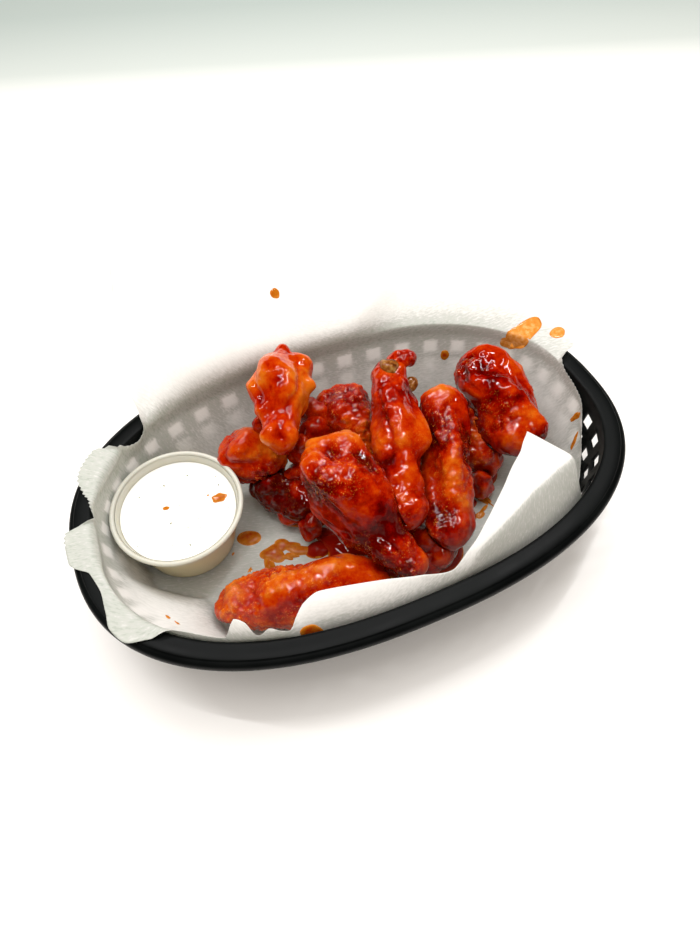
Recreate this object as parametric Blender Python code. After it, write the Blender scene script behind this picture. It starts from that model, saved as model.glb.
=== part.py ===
"""Chicken wings serving: an oval plastic basket, its paper liner, a cup of dip and eleven sauced wings.

The origin is the centre of the basket's underside, which stands on Z = 0. X runs along the basket,
Y across it with the raised back of the paper at +Y, and Z is up. All sizes are metres.
"""

import math

import bmesh
import bpy
import numpy as np
from mathutils import Vector

MM = 0.001
GAP = 0.4 * MM

# Basket: an oval |x/a|^n + |y/b|^n = 1 seen from above
RIM_HALF_LENGTH = 130.0 * MM
RIM_HALF_WIDTH = 85.6 * MM
OVAL_POWER = 2.37
RIM_HEIGHT = 48.6 * MM
RIM_WIDTH = 10.4 * MM
RIM_LIP = 4.4 * MM
WALL = 1.6 * MM
FLOOR = 2.2 * MM
DRAFT = 0.2
DRAFT_TOP = 38.8 * MM
WINDOWS_AROUND = 44
WINDOW_SHARE = 0.52
WINDOW_ROWS = 3
WINDOW_HEIGHT = 7.2 * MM
WINDOW_PITCH = 11.0 * MM
SLOT_SIZE = (20.0 * MM, 6.0 * MM)
SLOT_PITCH = (30.0 * MM, 14.0 * MM)

# Paper liner
PAPER = 0.8 * MM
PAPER_OFF_WALL = 0.8 * MM
PAPER_FLOOR = 3.0 * MM
PAPER_STEP = 13.0
# Stations round the basket: angle in degrees, height in mm where the sheet leaves the wall, free
# length in mm beyond it, and the free part's slope at its start and end (0 outward, 90 up, 180 inward).
PAPER_EDGE = (
    (-176, 49.6, 5.0, 3, -3),
    (-163, 49.6, 4.0, 3, -3),
    (-155, 49.6, 7.5, 3, -8),
    (-149, 49.6, 9.0, 3, -12),
    (-142, 49.6, 2.0, 60, 60),
    (-136, 46.0, 3.0, 95, 100),
    (-129, 44.0, 3.0, 95, 110),
    (-123, 42.0, 7.0, 95, 130),
    (-118, 36.0, 19.0, 90, 175),
    (-107, 38.0, 15.0, 90, 165),
    (-95, 40.0, 11.0, 90, 150),
    (-84, 41.0, 8.0, 90, 135),
    (-72, 38.0, 16.0, 90, 150),
    (-60, 36.0, 29.0, 88, 160),
    (-47, 34.0, 41.0, 85, 165),
    (-38, 34.0, 38.0, 85, 160),
    (-31, 26.0, 6.0, 90, 110),
    (-20, 40.0, 3.0, 92, 95),
    (-8, 44.0, 3.0, 92, 92),
    (4, 47.0, 2.0, 92, 92),
    (9, 49.6, 1.5, 60, 60),
    (15, 49.6, 22.0, 20, 8),
    (25, 49.6, 50.0, 16, 0),
    (36, 49.6, 22.0, 18, 10),
    (60, 49.6, 32.0, 24, 28),
    (78, 49.6, 44.0, 26, 32),
    (94, 49.6, 62.0, 28, 38),
    (105, 49.6, 76.0, 28, 46),
    (115, 49.6, 87.0, 24, 48),
    (120, 49.6, 62.0, 20, 46),
    (125, 49.6, 38.0, 18, 44),
    (129, 49.6, 18.0, 16, 50),
    (132, 49.6, 1.5, 60, 60),
    (135, 43.0, 3.0, 95, 95),
    (139, 49.6, 1.5, 60, 60),
    (143, 49.6, 11.5, 4, -12),
    (148, 49.6, 12.0, 4, -12),
    (153, 49.6, 11.5, 4, -12),
    (158, 49.6, 2.0, 30, 20),
    (162, 49.6, 1.0, 90, 90),
    (166, 46.5, 2.0, 100, 100),
    (170, 49.6, 3.0, 20, 10),
    (174, 49.6, 11.5, 4, -12),
    (180, 49.6, 11.5, 4, -12),
)

# Cup of dip
CUP_PLACE = (-82.8 * MM, 18.6 * MM, 5.2 * MM)
CUP_TILT = math.radians(2.6)
CUP_HEIGHT = 31.0 * MM
CUP_RIM_RADIUS = 31.0 * MM
CUP_MOUTH_RADIUS = 29.0 * MM
CUP_FOOT_RADIUS = 22.5 * MM
CUP_WALL = 0.8 * MM
CUP_FOOT_RECESS = 1.0 * MM
CUP_LIP_HEIGHT = 2.2 * MM
DIP_BELOW_RIM = 5.0 * MM
TURNED_SIDES = 28

# Wings: name, end tips (head, tail) in mm, head and tail radius in mm, flatness, roll in degrees, bow in mm
WINGS = (
    ("wing_01_front_flat", (-5, -53, 20), (-80, -28, 13.5), 16.5, 12.5, 0.8, 10, 1),
    ("wing_02_under_front", (30, -49, 14.5), (6, -19, 15.0), 10.0, 9.0, 1.0, 0, 0),
    ("wing_03_under_left", (-46, 29, 16), (-14, 0, 15.5), 12.0, 10.0, 1.0, 0, 2),
    ("wing_04_under_right", (77, 25, 28), (65, -12, 18), 12.5, 11.0, 0.95, 0, 0),
    ("wing_05_behind_centre", (13, 52, 38), (6, 8, 18.5), 15.0, 12.0, 1.0, 0, 0),
    ("wing_06_left_knob", (-53.5, 44, 35), (-22, 24, 27), 12.5, 11.5, 1.0, 0, 0),
    ("wing_07_back_left", (-10, 68, 57), (-30, 13, 52), 13.5, 8.5, 1.0, 0, 3),
    ("wing_08_right_back", (83, 39, 46), (84, -22, 30), 18.5, 13.5, 0.85, 20, 0),
    ("wing_09_centre", (-13, 12, 53), (8, -56, 24), 20.0, 9.5, 0.9, 0, 0),
    ("wing_10_tall_centre", (37, 46, 57), (14, -37, 35), 10.5, 9.5, 1.0, 0, 3),
    ("wing_11_right_centre", (57, 24, 48), (30, -46, 24), 13.0, 10.5, 1.0, 0, 0),
)
WING_SIDES = 12
WING_RINGS = 10

# (cut wing, wing that it lies against)
PRESSED = (
    ("wing_02_under_front", "wing_09_centre"),
    ("wing_02_under_front", "wing_11_right_centre"),
    ("wing_03_under_left", "wing_06_left_knob"),
    ("wing_05_behind_centre", "wing_09_centre"),
    ("wing_04_under_right", "wing_08_right_back"),
    ("wing_07_back_left", "wing_06_left_knob"),
    ("wing_10_tall_centre", "wing_09_centre"),
    ("wing_11_right_centre", "wing_10_tall_centre"),
    ("wing_05_behind_centre", "wing_10_tall_centre"),
)


def clear_scene():
    for thing in list(bpy.data.objects):
        bpy.data.objects.remove(thing, do_unlink=True)


def material(name, colour, roughness, metallic=0.0):
    made = bpy.data.materials.new(name)
    made.use_nodes = True
    shader = made.node_tree.nodes["Principled BSDF"]
    shader.inputs["Base Color"].default_value = (*colour, 1.0)
    shader.inputs["Roughness"].default_value = roughness
    shader.inputs["Metallic"].default_value = metallic
    return made


def add_object(name, mesh, finish, smooth_angle=40.0):
    made = bpy.data.objects.new(name, mesh)
    bpy.context.scene.collection.objects.link(made)
    mesh.materials.append(finish)
    mesh.shade_smooth()
    mesh.set_sharp_from_angle(angle=math.radians(smooth_angle))
    return made


def mesh_from(name, points, faces):
    mesh = bpy.data.meshes.new(name)
    mesh.from_pydata([tuple(point) for point in points], [], faces)
    build = bmesh.new()
    build.from_mesh(mesh)
    bmesh.ops.recalc_face_normals(build, faces=build.faces)
    build.to_mesh(mesh)
    build.free()
    return mesh


def oval(angle):
    """Rim point and outward normal at an angle measured as if the oval were stretched to a circle."""
    cosine, sine = np.cos(angle), np.sin(angle)
    reach = (abs(cosine) ** OVAL_POWER + abs(sine) ** OVAL_POWER) ** (-1 / OVAL_POWER)
    x, y = RIM_HALF_LENGTH * reach * cosine, RIM_HALF_WIDTH * reach * sine
    slope_x = np.sign(x) * abs(x / RIM_HALF_LENGTH) ** (OVAL_POWER - 1) / RIM_HALF_LENGTH
    slope_y = np.sign(y) * abs(y / RIM_HALF_WIDTH) ** (OVAL_POWER - 1) / RIM_HALF_WIDTH
    length = np.hypot(slope_x, slope_y)
    return np.stack([x, y], -1), np.stack([slope_x / length, slope_y / length], -1)


def spread_angles(fractions):
    """Angles for fractions of the way round, halfway between equal angles and equal lengths of rim."""
    fine = np.linspace(0, 2 * math.pi, 1441)
    points = oval(fine)[0]
    steps = np.linalg.norm(np.diff(points, axis=0), axis=1)
    length = np.concatenate([[0.0], np.cumsum(steps)])
    way = 0.5 * length / length[-1] + 0.5 * fine / fine[-1]
    return np.interp(np.mod(fractions, 1.0), way, fine)


def inset_ring(angles, inset, height):
    points, normals = oval(angles)
    flat = points - normals * inset
    return np.column_stack([flat, np.full(len(angles), height)])


def wall_inset(height):
    """How far the wall's inner face stands in from the rim's outer edge."""
    return RIM_WIDTH + DRAFT * max(0.0, DRAFT_TOP - height)


def basket_profile():
    """(inset, height) from the floor up the inner face, over the rim and down the outer face."""
    lowest = DRAFT_TOP - WINDOW_HEIGHT - (WINDOW_ROWS - 1) * WINDOW_PITCH
    window_edges = []
    for row in range(WINDOW_ROWS):
        bottom = lowest + row * WINDOW_PITCH
        window_edges += [bottom, bottom + WINDOW_HEIGHT]
    inner = [(wall_inset(FLOOR) + 2.5 * MM, FLOOR), (wall_inset(5 * MM), 5 * MM)]
    inner += [(wall_inset(height), height) for height in window_edges]
    rim = [
        (RIM_WIDTH, RIM_HEIGHT - 0.3 * MM),
        (0.5 * RIM_WIDTH, RIM_HEIGHT),
        (0.6 * MM, RIM_HEIGHT - 1.2 * MM),
        (0.0, RIM_HEIGHT - RIM_LIP),
        (WALL, RIM_HEIGHT - RIM_LIP),
        (RIM_WIDTH - WALL, RIM_HEIGHT - 2 * MM),
    ]
    outer = [(wall_inset(height) - WALL, height) for height in reversed(window_edges)]
    outer += [(wall_inset(5 * MM) - WALL, 4 * MM), (wall_inset(FLOOR) + 1.5 * MM, 0.0)]
    return inner, rim, outer


def basket_mesh():
    """Rings of the profile round the oval, with a window through both faces in every other column."""
    inner, rim, outer = basket_profile()
    profile = inner + rim + outer
    side = 0.5 * WINDOW_SHARE
    cells = np.arange(WINDOWS_AROUND)
    lines = np.column_stack([cells + 0.5 - side, cells + 0.5 + side]).ravel() / WINDOWS_AROUND
    angles = spread_angles(lines)
    columns = len(angles)
    points = np.concatenate([inset_ring(angles, inset, height) for inset, height in profile])

    def corner(ring, column):
        return ring * columns + column % columns

    first_inner = 2
    first_outer = len(inner) + len(rim)
    last = len(profile) - 1
    window_rings = {first_inner + 2 * row for row in range(WINDOW_ROWS)}
    window_rings |= {first_outer + 2 * row for row in range(WINDOW_ROWS)}
    faces = []
    for ring in range(last):
        for column in range(columns):
            if ring in window_rings and column % 2 == 0:
                continue
            faces.append((corner(ring, column), corner(ring, column + 1),
                          corner(ring + 1, column + 1), corner(ring + 1, column)))
    for row in range(WINDOW_ROWS):
        low_in = first_inner + 2 * row
        low_out = first_outer + 2 * (WINDOW_ROWS - 1 - row) + 1
        for column in range(0, columns, 2):
            inside = [corner(low_in, column), corner(low_in, column + 1),
                      corner(low_in + 1, column + 1), corner(low_in + 1, column)]
            outside = [corner(low_out, column), corner(low_out, column + 1),
                       corner(low_out - 1, column + 1), corner(low_out - 1, column)]
            for k in range(4):
                n = (k + 1) % 4
                faces.append((inside[k], inside[n], outside[n], outside[k]))
    faces.append([corner(0, column) for column in range(columns)])
    faces.append([corner(last, column) for column in range(columns)])
    return mesh_from("basket", points, faces)


def slot_cutter():
    """Slots through the floor, in rows either side of the solid strip along its middle."""
    cutter = bmesh.new()
    for row in (-2.6, -1.6, 1.6, 2.6):
        places = range(-2, 3) if abs(row) < 2 else range(-1, 2)
        for place in places:
            box = bmesh.ops.create_cube(cutter, size=1.0)["verts"]
            bmesh.ops.scale(cutter, vec=(*SLOT_SIZE, 4 * FLOOR), verts=box)
            shift = (place * SLOT_PITCH[0], row * SLOT_PITCH[1], 0.5 * FLOOR)
            bmesh.ops.translate(cutter, vec=shift, verts=box)
    mesh = bpy.data.meshes.new("floor_slots")
    cutter.to_mesh(mesh)
    cutter.free()
    return mesh


def hide_as_cutter(thing):
    thing.hide_render = True
    thing.display_type = "WIRE"


def cut_by(target, cutter):
    cut = target.modifiers.new("cut", "BOOLEAN")
    cut.operation = "DIFFERENCE"
    cut.solver = "EXACT"
    cut.object = cutter


def add_basket():
    black = material("black plastic", (0.012, 0.013, 0.013), 0.35)
    basket = add_object("basket", basket_mesh(), black, smooth_angle=35.0)
    slots = add_object("floor_slots", slot_cutter(), black)
    hide_as_cutter(slots)
    cut_by(basket, slots)


def paper_profile(leave, free, start, end):
    """(inset, height) down the middle of the sheet from the floor to its edge, for one station."""
    foot = wall_inset(PAPER_FLOOR) + PAPER_OFF_WALL
    top = min(DRAFT_TOP, leave - 4 * MM)
    points = [
        (foot + 6 * MM, PAPER_FLOOR),
        (foot + 0.2 * MM, PAPER_FLOOR + 2.5 * MM),
        (wall_inset(top) + PAPER_OFF_WALL, top),
        (wall_inset(leave) + PAPER_OFF_WALL, leave),
    ]
    steps = 4
    for step in range(steps):
        slope = math.radians(start + (end - start) * step / (steps - 1))
        inset, height = points[-1]
        points.append((inset - free / steps * math.cos(slope), height + free / steps * math.sin(slope)))
    return points


def paper_stations():
    """PAPER_EDGE with further stations between its own wherever they stand more than PAPER_STEP apart."""
    known = np.array(PAPER_EDGE, float)
    following = np.roll(known, -1, axis=0)
    following[-1, 0] += 360
    stations = []
    for here, there in zip(known, following):
        pieces = math.ceil((there[0] - here[0]) / PAPER_STEP)
        stations += [here + (there - here) * piece / pieces for piece in range(pieces)]
    return np.array(stations)


def paper_mesh():
    """The sheet as rings from the middle of the floor outward, each station shaped by PAPER_EDGE."""
    stations = paper_stations()
    rim, normals = oval(np.radians(stations[:, 0]))
    points = [(0.0, 0.0, PAPER_FLOOR)]
    for place, normal, (_, leave, free, start, end) in zip(rim, normals, stations):
        for inset, height in paper_profile(leave * MM, free * MM, start, end):
            points.append((*(place - normal * inset), height))
    around = len(stations)
    rings = (len(points) - 1) // around

    def corner(station, ring):
        return 1 + (station % around) * rings + ring

    faces = [(0, corner(station, 0), corner(station + 1, 0)) for station in range(around)]
    for station in range(around):
        for ring in range(rings - 1):
            faces.append((corner(station, ring), corner(station, ring + 1),
                          corner(station + 1, ring + 1), corner(station + 1, ring)))
    return mesh_from("paper_liner", points, faces)


def add_paper():
    white = material("white deli paper", (0.85, 0.85, 0.83), 0.7)
    paper = add_object("paper_liner", paper_mesh(), white)
    thick = paper.modifiers.new("thickness", "SOLIDIFY")
    thick.thickness = PAPER
    thick.offset = 0.0
    thick.use_even_offset = False


def turned_mesh(name, profile):
    """A closed profile of (radius, height) turned about Z; points on the axis become one point."""
    points, faces, rings = [], [], []
    for radius, height in profile:
        if radius == 0.0:
            rings.append([len(points)] * TURNED_SIDES)
            points.append((0.0, 0.0, height))
            continue
        rings.append(list(range(len(points), len(points) + TURNED_SIDES)))
        for side in range(TURNED_SIDES):
            turn = 2 * math.pi * side / TURNED_SIDES
            points.append((radius * math.cos(turn), radius * math.sin(turn), height))
    for low, high in zip(rings, rings[1:]):
        for side in range(TURNED_SIDES):
            n = (side + 1) % TURNED_SIDES
            face = [low[side], low[n], high[n], high[side]]
            faces.append(list(dict.fromkeys(face)))
    return mesh_from(name, points, faces)


def cup_radius(height):
    """Outer radius of the cup's tapered wall."""
    return CUP_FOOT_RADIUS + (CUP_MOUTH_RADIUS - CUP_FOOT_RADIUS) * height / CUP_HEIGHT


def place_cup(thing):
    thing.location = CUP_PLACE
    thing.rotation_euler = (CUP_TILT, 0.0, 0.0)


def add_cup_and_dip():
    lip_bottom = CUP_HEIGHT - CUP_LIP_HEIGHT
    inside_floor = CUP_FOOT_RECESS + CUP_WALL
    profile = [
        (0.0, CUP_FOOT_RECESS),
        (CUP_FOOT_RADIUS - 1.6 * MM, CUP_FOOT_RECESS),
        (CUP_FOOT_RADIUS - 1.2 * MM, 0.0),
        (CUP_FOOT_RADIUS, 0.0),
        (cup_radius(lip_bottom), lip_bottom),
        (CUP_RIM_RADIUS, lip_bottom),
        (CUP_RIM_RADIUS, CUP_HEIGHT),
        (CUP_MOUTH_RADIUS - CUP_WALL, CUP_HEIGHT),
        (cup_radius(inside_floor) - CUP_WALL, inside_floor),
        (0.0, inside_floor),
    ]
    clear = material("translucent cup plastic", (0.8, 0.8, 0.78), 0.3)
    place_cup(add_object("dip_cup", turned_mesh("dip_cup", profile), clear))
    dip_foot = inside_floor + GAP
    dip_top = CUP_HEIGHT - DIP_BELOW_RIM
    dip_profile = [
        (0.0, dip_foot),
        (cup_radius(dip_foot) - CUP_WALL - GAP, dip_foot),
        (cup_radius(dip_top) - CUP_WALL - GAP, dip_top),
        (0.0, dip_top),
    ]
    cream = material("creamy herb dip", (0.85, 0.84, 0.78), 0.4)
    place_cup(add_object("dip", turned_mesh("dip", dip_profile), cream))


def wing_radius(way, head, tail):
    """Radius along a wing: a round meaty head, a taper, and a knuckle that swells before the tail end."""
    caps = np.sqrt(1 - (1 - np.minimum(way / 0.28, 1)) ** 2)
    caps *= np.sqrt(1 - (1 - np.minimum((1 - way) / 0.12, 1)) ** 2)
    ease = np.clip((way - 0.25) / 0.6, 0, 1)
    ease = ease * ease * (3 - 2 * ease)
    knuckle = 1 - 0.14 * np.exp(-(((way - 0.78) / 0.09) ** 2))
    return caps * (head + (tail - head) * ease) * knuckle


def wing_mesh(name, head_tip, tail_tip, head, tail, flatness, roll, bow, grow=0.0):
    """Rings round a bowed line from the head's tip to the tail's, lumpy round the head, closed at both ends."""
    head_tip, tail_tip = Vector(head_tip) * MM, Vector(tail_tip) * MM
    along = (tail_tip - head_tip).normalized()
    head_tip, tail_tip = head_tip - along * grow, tail_tip + along * grow
    across = Vector((0, 0, 1)).cross(along).normalized()
    above = along.cross(across)
    turn = math.radians(roll)
    side_way = across * math.cos(turn) + above * math.sin(turn)
    up_way = above * math.cos(turn) - across * math.sin(turn)
    ways = 0.5 - 0.5 * np.cos(np.linspace(0, math.pi, WING_RINGS + 2)[1:-1])
    radii = wing_radius(ways, head * MM, tail * MM)
    points = [tuple(head_tip)]
    for way, radius in zip(ways, radii):
        middle = head_tip.lerp(tail_tip, way) + up_way * (bow * MM * math.sin(math.pi * way))
        lumps = 1 - way
        for side in range(WING_SIDES):
            angle = 2 * math.pi * side / WING_SIDES
            bump = 1 + 0.08 * lumps * math.sin(3 * angle + 5 * way)
            bump += 0.05 * math.cos(2 * angle + 9 * way)
            reach = radius * bump + grow
            offset = side_way * (reach * math.cos(angle)) + up_way * (reach * flatness * math.sin(angle))
            points.append(tuple(middle + offset))
    points.append(tuple(tail_tip))

    def corner(ring, side):
        return 1 + ring * WING_SIDES + side % WING_SIDES

    last = len(points) - 1
    faces = []
    for side in range(WING_SIDES):
        faces.append((0, corner(0, side), corner(0, side + 1)))
        faces.append((last, corner(WING_RINGS - 1, side + 1), corner(WING_RINGS - 1, side)))
        for ring in range(WING_RINGS - 1):
            faces.append((corner(ring, side), corner(ring + 1, side),
                          corner(ring + 1, side + 1), corner(ring, side + 1)))
    return mesh_from(name, points, faces)


def add_wings():
    """Each wing in its own object; where two press together, one keeps a dent a little wider than the other."""
    glaze = material("sauced chicken skin", (0.38, 0.05, 0.012), 0.2)
    made = {row[0]: add_object(row[0], wing_mesh(*row), glaze, smooth_angle=60.0) for row in WINGS}
    rows = {row[0]: row for row in WINGS}
    for cut_name, by_name in PRESSED:
        label = "press_" + cut_name[5:7] + "_" + by_name[5:7]
        cutter = add_object(label, wing_mesh(*rows[by_name], grow=GAP), glaze)
        cutter.data.name = label
        hide_as_cutter(cutter)
        cut_by(made[cut_name], cutter)


def main():
    clear_scene()
    add_basket()
    add_paper()
    add_cup_and_dip()
    add_wings()


main()
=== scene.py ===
# %% [markdown]
# # A serving of chicken wings
# The dish is an oval black basket, a sheet of white deli paper pressed into it, a small cup of dip
# and eleven fried wings tossed in a red sauce. Each piece below is worked out as a surface of two
# numbers, and each finish starts from what the real one is made of. Sizes are metres unless a name
# says millimetres, and the frame that is loaded first holds every solid that the pieces stand for.

# %% Load the frame
import math

import bmesh
import bpy
import numpy as np
from mathutils import Matrix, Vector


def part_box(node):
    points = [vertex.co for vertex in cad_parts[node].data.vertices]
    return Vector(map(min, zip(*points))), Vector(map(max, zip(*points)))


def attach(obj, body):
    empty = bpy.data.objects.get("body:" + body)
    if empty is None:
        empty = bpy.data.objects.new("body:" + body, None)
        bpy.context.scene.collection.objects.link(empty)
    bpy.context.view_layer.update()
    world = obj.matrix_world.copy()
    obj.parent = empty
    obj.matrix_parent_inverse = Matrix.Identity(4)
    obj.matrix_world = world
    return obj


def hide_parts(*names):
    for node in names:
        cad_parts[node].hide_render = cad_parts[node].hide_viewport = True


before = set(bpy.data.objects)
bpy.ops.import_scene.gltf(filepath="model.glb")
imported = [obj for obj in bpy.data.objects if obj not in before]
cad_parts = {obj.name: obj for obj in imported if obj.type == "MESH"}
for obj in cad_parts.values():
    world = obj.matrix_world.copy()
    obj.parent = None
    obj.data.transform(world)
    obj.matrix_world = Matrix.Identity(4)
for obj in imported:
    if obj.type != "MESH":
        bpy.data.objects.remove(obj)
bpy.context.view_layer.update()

MM = 0.001

# %% [markdown]
# ## Looking at the dish
# Someone standing at a table looks down at a serving from about fifty degrees. The camera has a
# short lens and stands close, so the near rim looks larger than the far one. It is turned a few
# degrees about its own line of sight, as a hand-held one is.

# %% Camera
CAMERA_PLACE = np.array((-0.06659, -0.17538, 0.29507))
CAMERA_AIM = np.array((-0.0037, -0.0040, 0.0480))
CAMERA_ROLL = math.radians(-3.39)
LENS_MM = 25.97


def camera_axes(place, aim, roll):
    """Right, up and back: right is level, then right and up turn by the roll about the line of sight."""
    forward = (aim - place) / np.linalg.norm(aim - place)
    right = np.cross(forward, (0, 0, 1))
    right /= np.linalg.norm(right)
    up = np.cross(right, forward)
    turned = right * math.cos(roll) + up * math.sin(roll)
    return turned, up * math.cos(roll) - right * math.sin(roll), -forward


camera = bpy.data.objects.new("camera", bpy.data.cameras.new("camera"))
bpy.context.scene.collection.objects.link(camera)
axes = np.column_stack([*camera_axes(CAMERA_PLACE, CAMERA_AIM, CAMERA_ROLL), CAMERA_PLACE])
camera.matrix_world = Matrix([*axes.tolist(), (0, 0, 0, 1)])
camera.data.lens = LENS_MM
camera.data.clip_start = 0.01
bpy.context.scene.camera = camera
print("camera stands", round(float(np.linalg.norm(CAMERA_PLACE - CAMERA_AIM)), 3), "m away")

# %% [markdown]
# ## Small tools
# A colour is written as the hex value a painter would pick, and the renderer wants linear light, so
# one function turns it. One more function adds a node to a material with its settings and links.
# The last ones make a mesh from a grid of points, and give smooth random numbers in space.

# %% Colours and nodes


def linear(hex_value):
    """sRGB hex to linear light: values over 0.04045 are ((v + 0.055) / 1.055) to the power 2.4."""
    parts = [int(hex_value[place:place + 2], 16) / 255 for place in (1, 3, 5)]
    light = [part / 12.92 if part <= 0.04045 else ((part + 0.055) / 1.055) ** 2.4 for part in parts]
    return (*light, 1.0)


def add_node(tree, kind, settings=(), sockets=()):
    """Adds one node. settings are its properties, and sockets are values or other nodes' outputs."""
    made = tree.nodes.new(kind)
    for name, value in dict(settings).items():
        if name == "stops":
            stops = made.color_ramp.elements
            stops.remove(stops[1])
            stops[0].position, stops[0].color = value[0]
            for position, colour in value[1:]:
                stops.new(position).color = colour
        else:
            setattr(made, name, value)
    for name, value in dict(sockets).items():
        if isinstance(value, bpy.types.NodeSocket):
            tree.links.new(value, made.inputs[name])
        else:
            made.inputs[name].default_value = value
    return made


def new_material(name, **values):
    """A material with its Principled shader, whose sockets take the values given by name."""
    made = bpy.data.materials.new(name)
    made.use_nodes = True
    shader = made.node_tree.nodes["Principled BSDF"]
    for socket, value in values.items():
        shader.inputs[socket.replace("_", " ")].default_value = value
    return made, made.node_tree, shader


# %% Grids and meshes


def grid_quads(rows, columns, round_rows=False, round_columns=False):
    """Four corners for each cell of a grid whose point (r, c) is number r * columns + c."""
    r, c = np.meshgrid(
        np.arange(rows - (not round_rows)), np.arange(columns - (not round_columns)), indexing="ij"
    )
    below, beside = (r + 1) % rows, (c + 1) % columns
    corners = [r * columns + c, r * columns + beside, below * columns + beside, below * columns + c]
    return np.stack(corners, -1).reshape(-1, 4)


def add_piece(name, points, faces, finish, sharp_degrees=60.0):
    """Makes a mesh object from points and faces, turns its faces outward and shades it smooth."""
    mesh = bpy.data.meshes.new(name)
    mesh.from_pydata(np.asarray(points, float).reshape(-1, 3).tolist(), [], faces)
    mesh.materials.append(finish)
    made = bpy.data.objects.new(name, mesh)
    bpy.context.scene.collection.objects.link(made)
    turn_outward(mesh)
    mesh.shade_smooth()
    mesh.set_sharp_from_angle(angle=math.radians(sharp_degrees))
    return made


def turn_outward(mesh):
    """Turns every face of a closed mesh to point out of it."""
    build = bmesh.new()
    build.from_mesh(mesh)
    bmesh.ops.recalc_face_normals(build, faces=build.faces)
    build.to_mesh(mesh)
    build.free()


def tube_with_ends(rows, first, last):
    """Points and faces of a stack of rings closed by one point at each end."""
    count, around = rows.shape[:2]
    points = np.concatenate([[first], rows.reshape(-1, 3), [last]])
    side = np.arange(around)
    nearest = np.column_stack([np.zeros_like(side), 1 + (side + 1) % around, 1 + side])
    start = 1 + (count - 1) * around
    furthest = np.column_stack([np.full_like(side, len(points) - 1), start + side,
                                start + (side + 1) % around])
    quads = 1 + grid_quads(count, around, round_columns=True)
    return points, quads.tolist() + nearest.tolist() + furthest.tolist()


def grid_normals(points):
    """Unit normals of a grid that closes along its second direction: the cross of its two slopes."""
    along = np.gradient(points, axis=0)
    around = np.roll(points, -1, axis=1) - np.roll(points, 1, axis=1)
    normals = np.cross(around, along)
    return normals / np.maximum(np.linalg.norm(normals, axis=-1, keepdims=True), 1e-12)


# %% Random relief


def soft_noise(points, size, seed):
    """Smooth heights from -1 to 1: random values at the corners of cubes `size` across, eased between."""
    table = np.random.default_rng(seed).uniform(-1, 1, (32, 32, 32))
    place = np.asarray(points) / size
    cell = np.floor(place).astype(int)
    part = place - cell
    part = part * part * (3 - 2 * part)
    total = np.zeros(place.shape[:-1])
    for corner in np.ndindex(2, 2, 2):
        weight = np.where(corner, part, 1 - part).prod(axis=-1)
        x, y, z = np.moveaxis((cell + corner) % 32, -1, 0)
        total += weight * table[x, y, z]
    return total


def blisters(points, size, seed):
    """Round domes from 0 to 1: one centre thrown into each cube, and 1 minus the squared distance to it."""
    rng = np.random.default_rng(seed)
    centres = rng.uniform(0.2, 0.8, (16, 16, 16, 3))
    sizes = rng.uniform(0.35, 1.0, (16, 16, 16))
    place = np.asarray(points) / size
    cell = np.floor(place).astype(int)
    tallest = np.zeros(place.shape[:-1])
    for step in np.ndindex(3, 3, 3):
        near = cell + step - 1
        x, y, z = np.moveaxis(near % 16, -1, 0)
        distance = np.linalg.norm(place - near - centres[x, y, z], axis=-1)
        dome = sizes[x, y, z] * np.clip(1 - (distance / 0.6) ** 2, 0, None)
        tallest = np.maximum(tallest, dome)
    return tallest

# %% [markdown]
# ## Table and light
# The dish stands on a white table under soft light from above and behind, with a white room all round. The
# far part of the table is painted grey-green, as painted shade where the light falls off at the back. A large
# lamp gives the soft shadow in front of the basket, and a frame of four thin strips gives wet sauce its
# glints, which bend into thin loops on every bump. The table is wide enough that its end is never seen.

# %% Table, lamps and room
TABLE_WIDTH = 6.0
# name, place, width and depth, watts: the strips make a square frame of light above and behind
LAMPS = (
    ("softbox", (0.05, 0.40, 1.20), (1.20, 1.20), 2.0),
    ("strip_left", (-0.36, 0.22, 1.00), (0.020, 0.62), 2.7),
    ("strip_right", (0.44, 0.22, 1.00), (0.020, 0.62), 2.7),
    ("strip_near", (0.04, -0.06, 1.08), (0.80, 0.020), 2.7),
    ("strip_far", (0.04, 0.50, 0.86), (0.80, 0.020), 2.7),
)

table_paint, tree, shader = new_material("white_laminate", Roughness=0.45, Specular_IOR_Level=0.3)
place = add_node(tree, "ShaderNodeTexCoord")
# painted shade: from 0.44 to 0.68 m out along the view the table turns grey-green, standing in for the light
# falling off at the back
away = add_node(tree, "ShaderNodeVectorMath", {"operation": "DOT_PRODUCT"}, {
    0: place.outputs["Object"], 1: (0.344, 0.939, 0.0)})
distance = add_node(tree, "ShaderNodeMapRange", sockets={
    "Value": away.outputs["Value"], "From Min": 0.44, "From Max": 0.68})
painted_far_shade = add_node(tree, "ShaderNodeValToRGB", {"stops": [
    (0.0, linear("#F4F3F1")), (0.4, linear("#C2C9C5")), (1.0, linear("#AFBAB6"))]},
    {"Fac": distance.outputs["Result"]})
tree.links.new(painted_far_shade.outputs["Color"], shader.inputs["Base Color"])
half = TABLE_WIDTH / 2
corners = [(-half, -half, 0), (half, -half, 0), (half, half, 0), (-half, half, 0)]
mesh = bpy.data.meshes.new("table")
mesh.from_pydata(corners, [], [(0, 1, 2, 3)])
mesh.materials.append(table_paint)
table = bpy.data.objects.new("table", mesh)
bpy.context.scene.collection.objects.link(table)

for name, place, width, watts in LAMPS:
    lamp = bpy.data.objects.new(name, bpy.data.lights.new(name, "AREA"))
    lamp.data.shape = "RECTANGLE"
    lamp.data.size, lamp.data.size_y = width
    lamp.data.energy = watts
    back, over = np.array(place) / np.linalg.norm(place), np.array((0.0, 0.0, 1.0))
    side = np.cross(over, back) / np.linalg.norm(np.cross(over, back))
    lamp.matrix_world = Matrix([*np.column_stack([side, np.cross(back, side), back, place]).tolist(),
                                (0, 0, 0, 1)])
    lamp.visible_glossy = name != "softbox"
    bpy.context.scene.collection.objects.link(lamp)

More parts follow.
